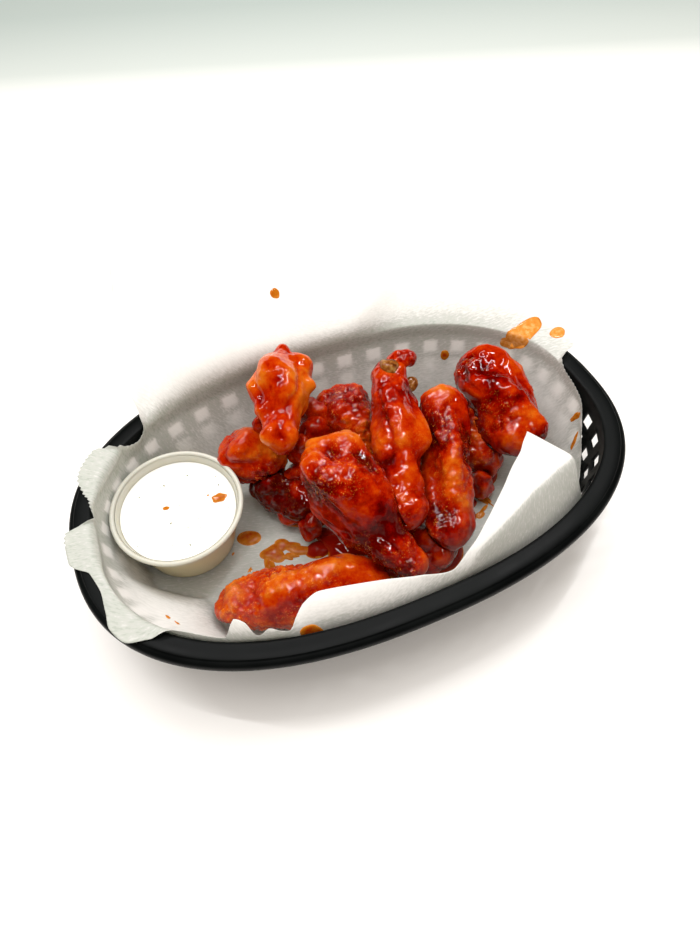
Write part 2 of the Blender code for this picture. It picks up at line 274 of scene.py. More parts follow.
room = bpy.data.worlds.new("white_room")
room.use_nodes = True
room.node_tree.nodes["Background"].inputs["Color"].default_value = linear("#FFF7EF")
room.node_tree.nodes["Background"].inputs["Strength"].default_value = 0.96
room.cycles_visibility.glossy = False
bpy.context.scene.world = room
bpy.context.scene.view_settings.view_transform = "Standard"
print("lamps:", [row[0] for row in LAMPS])

# %% [markdown]
# ## Basket
# The real one is injection-moulded polypropylene: one oval shell about 1.6 mm thick, with a flat
# rim that turns down at its edge, and three rows of small windows round the wall. It could be a
# solid with holes cut by booleans. Here the wall is a profile carried round the oval, on a grid
# whose lines fall on the windows' edges, so the windows are cells left out and walled round.

# %% The oval
RIM_HALF_LENGTH = 130.0 * MM
RIM_HALF_WIDTH = 85.6 * MM
OVAL_POWER = 2.37


def oval(angle):
    """Rim point and outward normal of |x/a|^n + |y/b|^n = 1 at an angle taken on the matching circle."""
    cosine, sine = np.cos(angle), np.sin(angle)
    reach = (abs(cosine) ** OVAL_POWER + abs(sine) ** OVAL_POWER) ** (-1 / OVAL_POWER)
    x, y = RIM_HALF_LENGTH * reach * cosine, RIM_HALF_WIDTH * reach * sine
    slope_x = np.sign(x) * abs(x / RIM_HALF_LENGTH) ** (OVAL_POWER - 1) / RIM_HALF_LENGTH
    slope_y = np.sign(y) * abs(y / RIM_HALF_WIDTH) ** (OVAL_POWER - 1) / RIM_HALF_WIDTH
    length = np.hypot(slope_x, slope_y)
    return np.stack([x, y], -1), np.stack([slope_x, slope_y], -1) / length[..., None]


FINE_ANGLES = np.linspace(0, 2 * math.pi, 2881)
rim_steps = np.linalg.norm(np.diff(oval(FINE_ANGLES)[0], axis=0), axis=1)
rim_length = np.concatenate([[0.0], np.cumsum(rim_steps)])
# The share of the way round: halfway between equal angles and equal lengths of rim
ROUND_SHARE = 0.5 * rim_length / rim_length[-1] + 0.5 * FINE_ANGLES / FINE_ANGLES[-1]
print("rim is", round(rim_length[-1] / MM), "mm round")


def rim_angle(share):
    """Angle at a share of the way round the basket."""
    return np.interp(np.mod(share, 1.0), ROUND_SHARE, FINE_ANGLES)


def rim_share(angle):
    """Share of the way round at an angle, the inverse of rim_angle."""
    return np.interp(np.mod(angle, 2 * math.pi), FINE_ANGLES, ROUND_SHARE)


# %% Sizes of the shell
RIM_HEIGHT = 48.6 * MM
RIM_WIDTH = 10.4 * MM
WALL = 1.6 * MM
FLOOR = 2.2 * MM
DRAFT = 0.2
DRAFT_TOP = 38.8 * MM
WINDOWS_AROUND = 44
WINDOW_SHARE = 0.52
WINDOW_ROWS = 3
WINDOW_HEIGHT = 7.2 * MM
WINDOW_PITCH = 11.0 * MM
PANES = 5
RIB_STRIPS = 3
SLOT_SIZE = (20.0 * MM, 6.0 * MM)
SLOT_PITCH = (30.0 * MM, 14.0 * MM)


def wall_inset(height):
    """How far the wall's inner face stands in from the rim's edge: the draft leans it in lower down."""
    return RIM_WIDTH + DRAFT * np.maximum(0.0, DRAFT_TOP - height)


def window_heights():
    """Bottom and top of each row of windows, from the lowest up."""
    tops = DRAFT_TOP - WINDOW_PITCH * np.arange(WINDOW_ROWS)[::-1]
    return np.column_stack([tops - WINDOW_HEIGHT, tops])


def basket_profile():
    """(inset, height) up the inner face, over the rounded rim and down the outer face, in metres."""
    edges = window_heights().ravel()
    foot = wall_inset(FLOOR)
    inner = [(foot + 4.0 * MM, FLOOR), (foot + 2.2 * MM, FLOOR + 0.15 * MM),
             (foot + 0.9 * MM, FLOOR + 0.8 * MM)]
    inner += [(wall_inset(height), height) for height in (FLOOR + 2.2 * MM, *edges)]
    rim = [(10.4, 43.0), (10.4, 47.2), (10.2, 48.0), (9.6, 48.5), (8.8, 48.6), (6.0, 48.6), (3.6, 48.5),
           (2.9, 48.3), (2.6, 47.9), (2.1, 47.7), (1.2, 47.4), (0.5, 46.8), (0.1, 46.0), (0.0, 45.2),
           (0.0, 44.5), (0.2, 44.2), (1.2, 44.2), (1.6, 44.5), (1.7, 45.6), (2.3, 46.3), (3.4, 46.6),
           (8.0, 46.6), (8.8, 46.0), (8.8, 43.0)]
    rim = [(inset * MM, height * MM) for inset, height in rim]
    outer = [(wall_inset(height) - WALL, height) for height in (*edges[::-1], FLOOR + 2.2 * MM)]
    outer += [(foot - 0.7 * MM, 1.2 * MM), (foot + 0.4 * MM, 0.3 * MM), (foot + 1.6 * MM, 0.0)]
    return np.array(inner + rim + outer), 4, 4 + 2 * WINDOW_ROWS + len(rim)


# %% The shell's points and faces


def basket_shell():
    """The profile at every line round the oval, less the window cells, plus each window's four walls."""
    profile, first_inner, first_outer = basket_profile()
    pane = np.linspace(0.5 - WINDOW_SHARE / 2, 0.5 + WINDOW_SHARE / 2, PANES + 1)
    rib = np.linspace(pane[-1], pane[0] + 1, RIB_STRIPS + 1)[1:-1]
    cell = np.concatenate([pane, rib])
    lines = len(cell)
    shares = (np.arange(WINDOWS_AROUND)[:, None] + cell).ravel() / WINDOWS_AROUND
    places, normals = oval(rim_angle(shares))
    columns = len(shares)
    flat = places[None] - normals[None] * profile[:, :1, None]
    heights = np.broadcast_to(profile[:, 1, None, None], (*flat.shape[:2], 1))
    points = np.concatenate([flat, heights], axis=-1)
    quads = grid_quads(len(profile), columns, round_columns=True)
    ring, column = np.divmod(quads[:, 0], columns)
    rows = 2 * np.arange(WINDOW_ROWS)
    open_rings = np.concatenate([first_inner + rows, first_outer + rows])
    quads = quads[~(np.isin(ring, open_rings) & (column % lines < PANES))]
    low_in = first_inner + rows
    low_out = first_outer + rows[::-1] + 1
    starts = lines * np.arange(WINDOWS_AROUND)
    walls = []
    for inside, outside in ((low_in, low_out), (low_in + 1, low_out - 1)):
        along = (starts[:, None] + np.arange(PANES)).ravel()
        a, b = inside[:, None] * columns + along, outside[:, None] * columns + along
        walls.append(np.stack([a, a + 1, b + 1, b], -1).reshape(-1, 4))
    for side in (0, PANES):
        line = starts + side
        corners = [ring_no[:, None] * columns + line
                   for ring_no in (low_in, low_in + 1, low_out - 1, low_out)]
        walls.append(np.stack(corners, -1).reshape(-1, 4))
    faces = np.concatenate([quads, *walls]).tolist()
    faces += [list(range(columns)), list(range((len(profile) - 1) * columns, len(profile) * columns))]
    return points, faces


def slot_prisms():
    """Upright prisms with round-cornered outlines, one for each slot through the basket's floor."""
    turn = np.linspace(0, 2 * math.pi, 24, endpoint=False) + math.pi / 24
    radius = 1.6 * MM
    half = np.array(SLOT_SIZE) / 2 - radius
    outline = np.column_stack([np.cos(turn), np.sin(turn)]) * radius
    outline += np.sign(np.column_stack([np.cos(turn), np.sin(turn)])) * half
    places = [(c * SLOT_PITCH[0], r * SLOT_PITCH[1]) for r in (-2.6, -1.6, 1.6, 2.6)
              for c in (range(-2, 3) if abs(r) < 2 else range(-1, 2))]
    flat = np.array(places)[:, None, None] + outline[None, None]
    flat = np.broadcast_to(flat, (len(places), 2, len(turn), 2))
    heights = np.broadcast_to(np.array((-1.0, 2.0))[None, :, None, None] * FLOOR, (*flat.shape[:3], 1))
    points = np.concatenate([flat, heights], -1).reshape(-1, 3)
    side = grid_quads(2, len(turn), round_columns=True)
    faces = []
    for start in 2 * len(turn) * np.arange(len(places)):
        faces += (side + start).tolist()
        faces += [list(range(start, start + len(turn))),
                  list(range(start + len(turn), start + 2 * len(turn)))]
    return points, faces


# %% [markdown]
# Black polypropylene leaves the mould satin, with a fine spark-eroded grain that scatters a
# highlight into a soft grey sheen. The grain is about 0.4 mm, and handling leaves slightly
# shinier and duller patches a few centimetres wide.

# %% Moulded black plastic
black_plastic, tree, shader = new_material("moulded_black_polypropylene", IOR=1.49, Specular_IOR_Level=0.12)
place = add_node(tree, "ShaderNodeTexCoord")
grain = add_node(tree, "ShaderNodeTexNoise", sockets={
    "Vector": place.outputs["Object"], "Scale": 1 / (0.4 * MM), "Detail": 2.0})
wear = add_node(tree, "ShaderNodeTexNoise", sockets={
    "Vector": place.outputs["Object"], "Scale": 1 / (26 * MM), "Detail": 3.0})
dark = add_node(tree, "ShaderNodeValToRGB", {"stops": [(0.35, linear("#040505")), (0.7, linear("#090C0B"))]},
                {"Fac": wear.outputs["Fac"]})
gloss = add_node(tree, "ShaderNodeMapRange", sockets={
    "Value": wear.outputs["Fac"], "From Min": 0.3, "From Max": 0.7, "To Min": 0.34, "To Max": 0.50})
bump = add_node(tree, "ShaderNodeBump", sockets={
    "Strength": 0.12, "Distance": 0.06 * MM, "Height": grain.outputs["Fac"]})
tree.links.new(dark.outputs["Color"], shader.inputs["Base Color"])
tree.links.new(gloss.outputs["Result"], shader.inputs["Roughness"])
tree.links.new(bump.outputs["Normal"], shader.inputs["Normal"])

# %% Make the basket


def settle(piece):
    """Replaces the piece's mesh by what its modifiers make of it, and drops the modifiers."""
    graph = bpy.context.evaluated_depsgraph_get()
    made = bpy.data.meshes.new_from_object(piece.evaluated_get(graph))
    piece.modifiers.clear()
    piece.data = made
    return piece


basket = add_piece("moulded_basket", *basket_shell(), black_plastic, 35)
cutter = add_piece("slot_prisms", *slot_prisms(), black_plastic, 35)
cut = basket.modifiers.new("slots", "BOOLEAN")
cut.object = cutter
settle(basket)
bpy.data.objects.remove(cutter)
soften = basket.modifiers.new("moulded edges", "BEVEL")
soften.width = 0.45 * MM
soften.segments = 2
soften.angle_limit = math.radians(40)
settle(basket)
basket.data.shade_smooth()
basket.data.set_sharp_from_angle(angle=math.radians(35))
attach(basket, "root")
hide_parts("basket")
print("basket triangles:", sum(len(face.vertices) - 2 for face in basket.data.polygons))

# %% [markdown]
# ## Paper liner
# A square of thin white deli paper, about 30 cm across, is pushed into the basket. It lies on the
# floor, leans up the wall, and its free edges stand up at the back, flop over the rim at the left
# and curl inward at the front and right. Cloth simulation would not give these chosen folds, so the
# sheet is a profile of (inset, height) at each angle round the oval, whose shape changes smoothly
# from station to station, and a low random crumple pushes the sheet along its own normal.

# %% How the sheet runs at each station
PAPER_THICKNESS = 0.16 * MM
PAPER_FLOOR = 3.0 * MM
PAPER_OFF_WALL = 0.7 * MM
# angle in degrees, height in mm where the sheet leaves the wall, free length in mm beyond it, the
# free part's slope in degrees at its start and end (0 outward, 90 up, 180 inward), at what share of
# the free length it bends and over how much of it, and how far in mm the foot stands off the wall
SHEET_STATIONS = np.array((
    (-178, 43.2, 17.9, 108, -4, 0.3, 0.45, 6),
    (-175.5, 44.5, 14.5, 108, -4, 0.3, 0.45, 9),
    (-172, 47.0, 7.4, 108, -4, 0.3, 0.45, 13),
    (-165.5, 47.5, 5.9, 108, -4, 0.3, 0.45, 18),
    (-158, 45.8, 10.7, 108, -4, 0.3, 0.45, 22),
    (-153.5, 44.0, 16.0, 108, -4, 0.3, 0.45, 23),
    (-149, 43.5, 17.2, 108, -4, 0.3, 0.45, 23),
    (-144, 46.2, 9.2, 108, -4, 0.3, 0.45, 21),
    (-139.5, 47.5, 4.0, 108, 60, 0.5, 1, 17),
    (-133, 45.5, 3.5, 98, 110, 0.5, 1, 11),
    (-128.4, 45.0, 3.0, 98, 110, 0.5, 1, 7),
    (-126.4, 46.0, 10.5, 100, 150, 0.5, 1, 5),
    (-124, 47.0, 9.0, 94, 140, 0.5, 1, 3),
    (-121.6, 47.0, 3.0, 92, 100, 0.5, 1, 2),
    (-119.4, 47.0, 6.5, 88, 120, 0.5, 1, 1),
    (-117.2, 46.0, 5.0, 90, 110, 0.5, 1, 1),
    (-115.8, 42.0, 6.5, 92, 118, 0.5, 1, 1),
    (-114.4, 38.5, 13.0, 92, 150, 0.5, 1, 1),
    (-112.4, 37.0, 19.0, 92, 162, 0.5, 1, 1),
    (-109, 37.0, 22.5, 92, 164, 0.5, 1, 1),
    (-104, 38.0, 21.5, 92, 160, 0.5, 1, 1),
    (-97, 38.0, 19.0, 92, 155, 0.5, 1, 1),
    (-90, 39.0, 15.0, 92, 140, 0.5, 1, 1),
    (-84.5, 40.0, 12.5, 94, 120, 0.6, 0.8, 1),
    (-79, 40.0, 21.0, 100, 165, 0.85, 0.25, 1),
    (-74, 40.0, 27.0, 106, 172, 0.77, 0.2, 1),
    (-68, 40.0, 33.0, 112, 174, 0.7, 0.16, 1),
    (-61, 40.0, 39.0, 116, 176, 0.64, 0.14, 2),
    (-54, 40.0, 43.0, 116, 178, 0.58, 0.12, 2),
    (-49.5, 40.0, 46.0, 113, 178, 0.53, 0.12, 3),
    (-47.4, 40.0, 47.0, 112, 178, 0.52, 0.12, 3),
    (-47, 24.0, 4.0, 98, 106, 0.5, 1, 3),
    (-40, 21.0, 4.0, 98, 106, 0.5, 1, 3),
    (-31, 20.0, 4.0, 96, 104, 0.5, 1, 3),
    (-20, 24.0, 4.0, 94, 100, 0.5, 1, 3),
    (-13, 31.0, 4.0, 92, 98, 0.5, 1, 3),
    (-8, 37.5, 4.0, 92, 96, 0.5, 1, 4),
    (0, 42.5, 3.5, 92, 96, 0.5, 1, 5),
    (5, 44.5, 3.0, 92, 98, 0.5, 1, 7),
    (8.4, 47.5, 3.0, 90, 80, 0.5, 1, 8),
    (11.5, 49.0, 12.0, 14, 8, 0.5, 1, 8),
    (15, 49.0, 24.0, 14, 14, 0.5, 1, 8),
    (25, 49.0, 50.0, 12, 8, 0.5, 1, 8),
    (36, 48.5, 22.0, 18, 22, 0.5, 1, 6),
    (60, 48.8, 33.0, 26, 32, 0.5, 1, 6),
    (78, 46.0, 46.0, 96, 30, 0.1, 0.25, 6),
    (94, 45.5, 64.0, 102, 34, 0.08, 0.22, 6),
    (105, 45.5, 78.0, 102, 38, 0.07, 0.2, 6),
    (115, 45.5, 89.0, 102, 37, 0.06, 0.2, 5),
    (120, 45.5, 64.0, 102, 34, 0.07, 0.22, 5),
    (125, 45.5, 41.0, 102, 32, 0.1, 0.3, 4),
    (128.5, 45.5, 22.0, 102, 30, 0.15, 0.3, 3),
    (130.5, 46.0, 10.0, 102, 50, 0.35, 0.5, 2),
    (132.2, 43.0, 5.5, 95, 110, 0.5, 1, 2),
    (135, 40.0, 7.0, 98, 118, 0.5, 1, 2),
    (138.5, 42.5, 7.0, 98, 118, 0.5, 1, 2),
    (140.6, 46.0, 5.5, 100, 70, 0.4, 0.6, 2),
    (142.2, 45.2, 12.0, 108, -4, 0.3, 0.45, 2),
    (143.8, 43.8, 17.0, 108, -4, 0.3, 0.45, 2),
    (149, 43.5, 17.6, 108, -4, 0.3, 0.45, 2),
    (153.5, 44.2, 15.5, 108, -4, 0.3, 0.45, 2),
    (158, 46.5, 8.4, 108, -4, 0.3, 0.45, 2),
    (162.5, 47.6, 3.9, 108, 40, 0.5, 0.8, 2),
    (168.8, 45.0, 4.5, 100, 110, 0.5, 1, 3),
    (170.2, 46.0, 9.0, 108, -4, 0.3, 0.45, 4),
    (171.8, 43.5, 17.2, 108, -4, 0.3, 0.45, 4),
    (175, 43.2, 18.2, 108, -4, 0.3, 0.45, 5),
), float)


def between_stations(angle):
    """Each station value at any angle: cubic curves whose slopes never overshoot the stations."""
    known = np.concatenate([SHEET_STATIONS[-3:] - (360, 0, 0, 0, 0, 0, 0, 0), SHEET_STATIONS,
                            SHEET_STATIONS[:3] + (360, 0, 0, 0, 0, 0, 0, 0)])
    at, values = known[:, 0], known[:, 1:]
    width = np.diff(at)[:, None]
    slope = np.diff(values, axis=0) / width
    product = slope[1:] * slope[:-1]
    mean = 2 * product / np.where(product > 0, slope[1:] + slope[:-1], 1.0)
    tangent = np.zeros_like(values)
    tangent[1:-1] = np.where(product > 0, mean, 0.0)
    degrees = (np.degrees(angle) + 180) % 360 - 180
    left = np.clip(np.searchsorted(at, degrees, side="right") - 1, 0, len(at) - 2)
    t = ((degrees - at[left]) / width[left, 0])[:, None]
    span = width[left]
    return ((2 * t**3 - 3 * t**2 + 1) * values[left] + (t**3 - 2 * t**2 + t) * span * tangent[left]
            + (3 * t**2 - 2 * t**3) * values[left + 1] + (t**3 - t**2) * span * tangent[left + 1])


# %% The sheet as a surface
FREE_STEPS = 16
FLOOR_SHARE = 0.22


def rounded(line, times):
    """Cuts the corners of each (inset, height) line: every inner stretch keeps its points at 1/4 and 3/4."""
    for _ in range(times):
        early = 0.75 * line[:, :-1] + 0.25 * line[:, 1:]
        late = 0.25 * line[:, :-1] + 0.75 * line[:, 1:]
        middle = np.stack([early, late], 2).reshape(len(line), -1, 2)
        line = np.concatenate([line[:, :1], middle[:, 1:-1], line[:, -1:]], axis=1)
    return line


def sheet_profiles(angle):
    """(inset, height) lines from the foot of the sheet to its edge: along the floor, up, then
    the free arc.
    """
    leave, free, start, end, fold, soft, ramp = between_stations(angle).T
    leave, free, ramp = leave * MM, free * MM, ramp * MM
    foot = wall_inset(PAPER_FLOOR) + PAPER_OFF_WALL + ramp
    top = np.minimum(DRAFT_TOP, leave - 4 * MM)
    line = [
        (foot + 7 * MM, np.full_like(foot, PAPER_FLOOR)),
        (foot + 1.5 * MM, np.full_like(foot, PAPER_FLOOR)),
        (foot - 0.12 * ramp, PAPER_FLOOR + 3 * MM + 0.2 * ramp),
        (wall_inset(top) + PAPER_OFF_WALL, top),
        (wall_inset(leave) + PAPER_OFF_WALL, leave),
    ]
    along = np.arange(FREE_STEPS) / (FREE_STEPS - 1)
    bent = np.clip((along - fold[:, None]) / soft[:, None] + 0.5, 0, 1)
    slopes = np.radians(start[:, None] + (end - start)[:, None] * bent)
    reach = np.cumsum(np.stack([-np.cos(slopes), np.sin(slopes)], -1) * (free / FREE_STEPS)[:, None, None],
                      axis=1)
    line = np.stack([np.stack(point, -1) for point in line], axis=1)
    line = np.concatenate([line, line[:, -1:] + reach], axis=1)
    return rounded(line, 2)


def smooth_sheet(angle, way):
    """The uncrumpled sheet at angles and ways (0 the middle of the floor, 1 the edge)."""
    shape = np.broadcast(angle, way).shape
    one, back = np.unique(np.broadcast_to(angle, shape), return_inverse=True)
    back = back.reshape(shape)
    lines = sheet_profiles(one)
    places, normals = oval(one)
    outer = np.clip((np.broadcast_to(way, shape) - FLOOR_SHARE) / (1 - FLOOR_SHARE), 0, 1)
    step = outer * (lines.shape[1] - 1)
    low = np.clip(np.floor(step).astype(int), 0, lines.shape[1] - 2)
    part = (step - low)[..., None]
    line = lines[back, low] * (1 - part) + lines[back, low + 1] * part
    flat = places[back] - normals[back] * line[..., :1]
    flat = flat * np.clip(np.broadcast_to(way, shape) / FLOOR_SHARE, 0, 1)[..., None]
    return np.concatenate([flat, line[..., 1:]], -1), line[..., 0]


# %% Crumple, crease and the finished sheet
CREASE_AT = 9.0 * MM
CREASE_WIDTH = 2.5 * MM


def sheet_normal(angle, way):
    """Unit normal of the smooth sheet on its food side, from its slopes along both numbers."""
    small = 1e-3
    along = (smooth_sheet(angle, np.minimum(way + small, 1))[0]
             - smooth_sheet(angle, np.maximum(way - small, 0))[0])
    around = smooth_sheet(angle + small, way)[0] - smooth_sheet(angle - small, way)[0]
    normal = np.cross(along, around)
    normal = normal / np.maximum(np.linalg.norm(normal, axis=-1, keepdims=True), 1e-12)
    return normal


def crumple(points, inset):
    """How far the sheet stands off its smooth shape: broad and fine waves, faded where it lies on plastic."""
    freedom = (np.clip((points[..., 2] - 10 * MM) / (30 * MM), 0.12, 1)
               * np.clip(0.25 + (RIM_WIDTH - inset) / (20 * MM), 0.25, 1))
    waves = -1.1 * soft_noise(points, 34 * MM, 3) - 0.35 * soft_noise(points, 11 * MM, 4)
    fold = 0.9 * np.exp(-abs(points[..., 0] - CREASE_AT) / CREASE_WIDTH) * (points[..., 1] > 0)
    return (waves + fold) * freedom * MM


def sheet(angle, way, lift=0.0):
    """A point on the crumpled sheet, raised off its food side by lift."""
    points, inset = smooth_sheet(angle, way)
    return points + sheet_normal(angle, way) * (crumple(points, inset) + lift)[..., None]


# %% The grid of the sheet
# Near the right end the sheet bellies off the wall: the painted shade of the basket counts it STAND_OFF
# further off there, so its painted windows blur
RIGHT_END = math.radians(12)
STAND_OFF = 4.6 * MM
SHEET_COLUMNS = 540
# Rows on the floor, up the wall, where the windows show through, and over the free part
SHEET_ROWS = (11, 36, 37)
WALL_TOP_SHARE = 0.385
TOOTH = 0.5 * MM
# Where the cutter left teeth, as (from, to) in degrees
TOOTHED = ((-47, 33), (118, 176))

spread = rim_angle(np.arange(SHEET_COLUMNS) / SHEET_COLUMNS)
steps = (0.0, FLOOR_SHARE, WALL_TOP_SHARE, 1.0)
ways = np.concatenate([np.linspace(low, high, rows + 1)[1:]
                       for low, high, rows in zip(steps, steps[1:], SHEET_ROWS)])
columns = (spread + math.pi) % (2 * math.pi) - math.pi
points = sheet(columns[None, :], ways[:, None], PAPER_THICKNESS / 2)
smooth, inset = smooth_sheet(columns[None, :], ways[:, None])
toothed = np.any([(np.degrees(columns) > low) & (np.degrees(columns) < high) for low, high in TOOTHED],
                 axis=0)
outward = points[-1] - points[-2]
outward /= np.maximum(np.linalg.norm(outward, axis=-1, keepdims=True), 1e-9)
tooth = TOOTH * np.where(np.arange(SHEET_COLUMNS) % 2, 1, -1) * toothed
points[-1] += outward * tooth[:, None]
middle = np.array((0.0, 0.0, PAPER_FLOOR))
print("sheet reaches", round(float(points[..., 2].max() / MM), 1), "mm high")


def leaning_back(angle, way):
    """0 to 1: where a free flap leans in over the bowl, up to its fold, so its outer face is
    seen against shade.
    """
    leave, free, start, end, fold, soft, ramp = between_stations(angle).T
    along = np.clip((way - WALL_TOP_SHARE) / (1 - WALL_TOP_SHARE), 0, 1)
    before = np.clip((fold - along) / 0.03 + 0.5, 0, 1) * np.clip(along / 0.1, 0, 1)
    return before * np.clip((free - 14) / 10, 0, 1) * np.clip((end - 140) / 15, 0, 1)


def painted_basket_shade(smooth, inset, angle):
    """Painted shade of the black basket seen through the paper, 0 to 1: it fades with the gap, and the
    windows lift it as painted light, less at the lower rows.

    The gap is the distance to the nearer of the wall's inner face and the rim's flat top.
    """
    height = smooth[..., 2]
    off_wall = np.hypot(np.maximum(inset - wall_inset(height), 0), np.maximum(height - RIM_HEIGHT, 0))
    turned_by = np.degrees((angle - RIGHT_END + math.pi) % (2 * math.pi) - math.pi)
    off_wall = off_wall + STAND_OFF * np.exp(-((turned_by / 24) ** 2))
    off_rim = np.hypot(np.maximum(height - RIM_HEIGHT, 0),
                       np.maximum(inset - RIM_WIDTH, 0) + np.maximum(-inset, 0))
    shell = 0.9 * np.exp(-np.maximum(off_wall - 0.8 * MM, 0) / (3.0 * MM))
    shell = np.maximum(shell, 0.5 * np.exp(-np.maximum(off_rim - 0.8 * MM, 0) / (6.0 * MM)))
    floor = 0.62 * np.exp(-np.maximum(height - PAPER_FLOOR, 0) / (14.0 * MM))
    across = abs(np.mod(rim_share(angle) * WINDOWS_AROUND, 1) - 0.5)
    soft = 0.07 + np.clip((off_wall - 0.9 * MM) / (12 * MM), 0, 0.3)
    side = np.clip((WINDOW_SHARE / 2 - across) / soft + 0.5, 0, 1)
    middle_height = window_heights().mean(axis=1)
    off_middle = abs(height[..., None] - middle_height)
    up = np.clip((WINDOW_HEIGHT / 2 - off_middle) / (1.6 * MM) + 0.5, 0, 1).max(axis=-1)
    # painted shade: the lower rows of windows get less painted light, as if the table shaded them
    lit = np.clip((height - 8 * MM) / (26 * MM), 0.2, 1)
    return np.maximum(shell * (1 - 0.97 * side * up * lit), floor)


# %% [markdown]
# Deli paper is bleached and lightly waxed: white, matt and very thin. Its colour holds painted shade and
# painted light. It is painted grey where the black basket lies close behind it and near the floor. It is
# painted bright where a window behind it would let light through, less at the lower rows. It is painted
# darker where a flap leans in over the bowl. How near the plastic is comes from the geometry, as an attribute
# of the sheet's points. The fibres run mostly one way and show as short dashes about a millimetre long; they
# read the sheet's own flat map, so that they follow its folds.

# %% Waxed deli paper
FIBRE_TURN = math.radians(-20)
deli_paper, tree, shader = new_material("waxed_deli_paper", Roughness=0.55, IOR=1.45)
flat_map = add_node(tree, "ShaderNodeUVMap", {"uv_map": "flat_sheet"})
behind = add_node(tree, "ShaderNodeAttribute", {"attribute_name": "plastic_behind"})
stretch = add_node(tree, "ShaderNodeMapping", {"vector_type": "TEXTURE"}, {
    "Vector": flat_map.outputs["UV"], "Rotation": (0, 0, FIBRE_TURN), "Scale": (3.2 * MM, 0.8 * MM, 1.0)})
fibres = add_node(tree, "ShaderNodeTexNoise", sockets={
    "Vector": stretch.outputs["Vector"], "Scale": 1.0, "Detail": 2.0, "Roughness": 0.6})
cloud_map = add_node(tree, "ShaderNodeMapping", {"vector_type": "TEXTURE"}, {
    "Vector": flat_map.outputs["UV"], "Rotation": (0, 0, FIBRE_TURN), "Scale": (8 * MM, 3 * MM, 1.0)})
clouds = add_node(tree, "ShaderNodeTexNoise", sockets={
    "Vector": cloud_map.outputs["Vector"], "Scale": 1.0, "Detail": 3.0})
streaks = add_node(tree, "ShaderNodeMapRange", sockets={
    "Value": fibres.outputs["Fac"], "From Min": 0.34, "From Max": 0.66, "To Min": 0.45, "To Max": 1.3})
patches = add_node(tree, "ShaderNodeMapRange", sockets={
    "Value": clouds.outputs["Fac"], "From Min": 0.3, "From Max": 0.7, "To Min": 0.8, "To Max": 1.15})
uneven = add_node(tree, "ShaderNodeMath", {"operation": "MULTIPLY"}, {
    0: streaks.outputs["Result"], 1: patches.outputs["Result"]})
shown = add_node(tree, "ShaderNodeMath", {"operation": "MULTIPLY", "use_clamp": True}, {
    0: uneven.outputs["Value"], 1: behind.outputs["Fac"]})
painted_paper_tone = add_node(tree, "ShaderNodeValToRGB", {"stops": [
    (0.0, linear("#F6F5F2")), (0.45, linear("#CFD0CA")), (0.8, linear("#C9CDC4")), (1.0, linear("#BCC1B7"))]},
    {"Fac": shown.outputs["Value"]})
nap = add_node(tree, "ShaderNodeBump", sockets={
    "Strength": 0.12, "Distance": 0.04 * MM, "Height": fibres.outputs["Fac"]})
tree.links.new(painted_paper_tone.outputs["Color"], shader.inputs["Base Color"])
tree.links.new(nap.outputs["Normal"], shader.inputs["Normal"])
through = add_node(tree, "ShaderNodeBsdfTranslucent")
tree.links.new(painted_paper_tone.outputs["Color"], through.inputs["Color"])
both = add_node(tree, "ShaderNodeMixShader", sockets={
    0: 0.32, 1: shader.outputs["BSDF"], 2: through.outputs["BSDF"]})
tree.links.new(both.outputs["Shader"], tree.nodes["Material Output"].inputs["Surface"])

# %% Make the paper liner
count = SHEET_COLUMNS
side = np.arange(count)
fan = np.column_stack([np.zeros_like(side), 1 + side, 1 + (side + 1) % count])
quads = 1 + grid_quads(len(ways), count, round_columns=True)
sheet_points = np.concatenate([[middle], points.reshape(-1, 3)])
mesh = bpy.data.meshes.new("deli_paper_liner")
mesh.from_pydata(sheet_points.tolist(), [], quads[:, ::-1].tolist() + fan.tolist())
mesh.materials.append(deli_paper)

steps = np.linalg.norm(np.diff(np.concatenate([np.broadcast_to(middle, (1, count, 3)), points]), axis=0),
                       axis=-1)
length = np.cumsum(steps, axis=0)
heading = points[8] / np.linalg.norm(points[8, :, :2], axis=-1, keepdims=True)
flat = np.concatenate([[(0.0, 0.0)], (length[..., None] * heading[None, :, :2]).reshape(-1, 2)])
corner_points = np.empty(len(mesh.loops), int)
mesh.loops.foreach_get("vertex_index", corner_points)
mesh.uv_layers.new(name="flat_sheet").data.foreach_set("uv", flat[corner_points].ravel())
# painted shade and painted light of the basket seen through the paper, with flaps that lean in over the bowl
# painted darker
shade = np.maximum(painted_basket_shade(smooth, inset, columns[None, :]), 0.6 * leaning_back(columns, ways[:, None]))
painted_shade_values = np.concatenate([[0.5], shade.ravel()])
mesh.attributes.new("plastic_behind", "FLOAT", "POINT").data.foreach_set("value", painted_shade_values)

paper = bpy.data.objects.new("deli_paper_liner", mesh)
bpy.context.scene.collection.objects.link(paper)
thicken = paper.modifiers.new("paper thickness", "SOLIDIFY")
thicken.thickness = PAPER_THICKNESS
thicken.offset = -1.0
mesh.shade_smooth()
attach(paper, "root")
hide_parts("paper_liner")
print("paper cells:", len(mesh.polygons), "longest way over the sheet mm:",
      round(float((length[-1] + np.roll(length[-1], count // 2)).max() / MM)))

# %% [markdown]
# ## Cup of dip
# A portion cup is thermoformed from thin milky polypropylene: a tapered wall, a foot with a recess
# and a rim that curls outward into a bead. It is a profile turned about its own axis, which leans
# a little because the cup stands on creased paper. The dip fills it to 5 mm below the rim, rises
# slightly where it clings to the wall, and keeps the soft ripples of being spooned in.

# %% Where the cup stands
CUP_TILT = math.radians(2.6)
CUP_HEIGHT = 31.0 * MM
CUP_RIM_RADIUS = 31.0 * MM
CUP_MOUTH_RADIUS = 29.0 * MM
CUP_FOOT_RADIUS = 22.5 * MM
CUP_WALL = 0.8 * MM
DIP_BELOW_RIM = 5.0 * MM
AROUND = 160

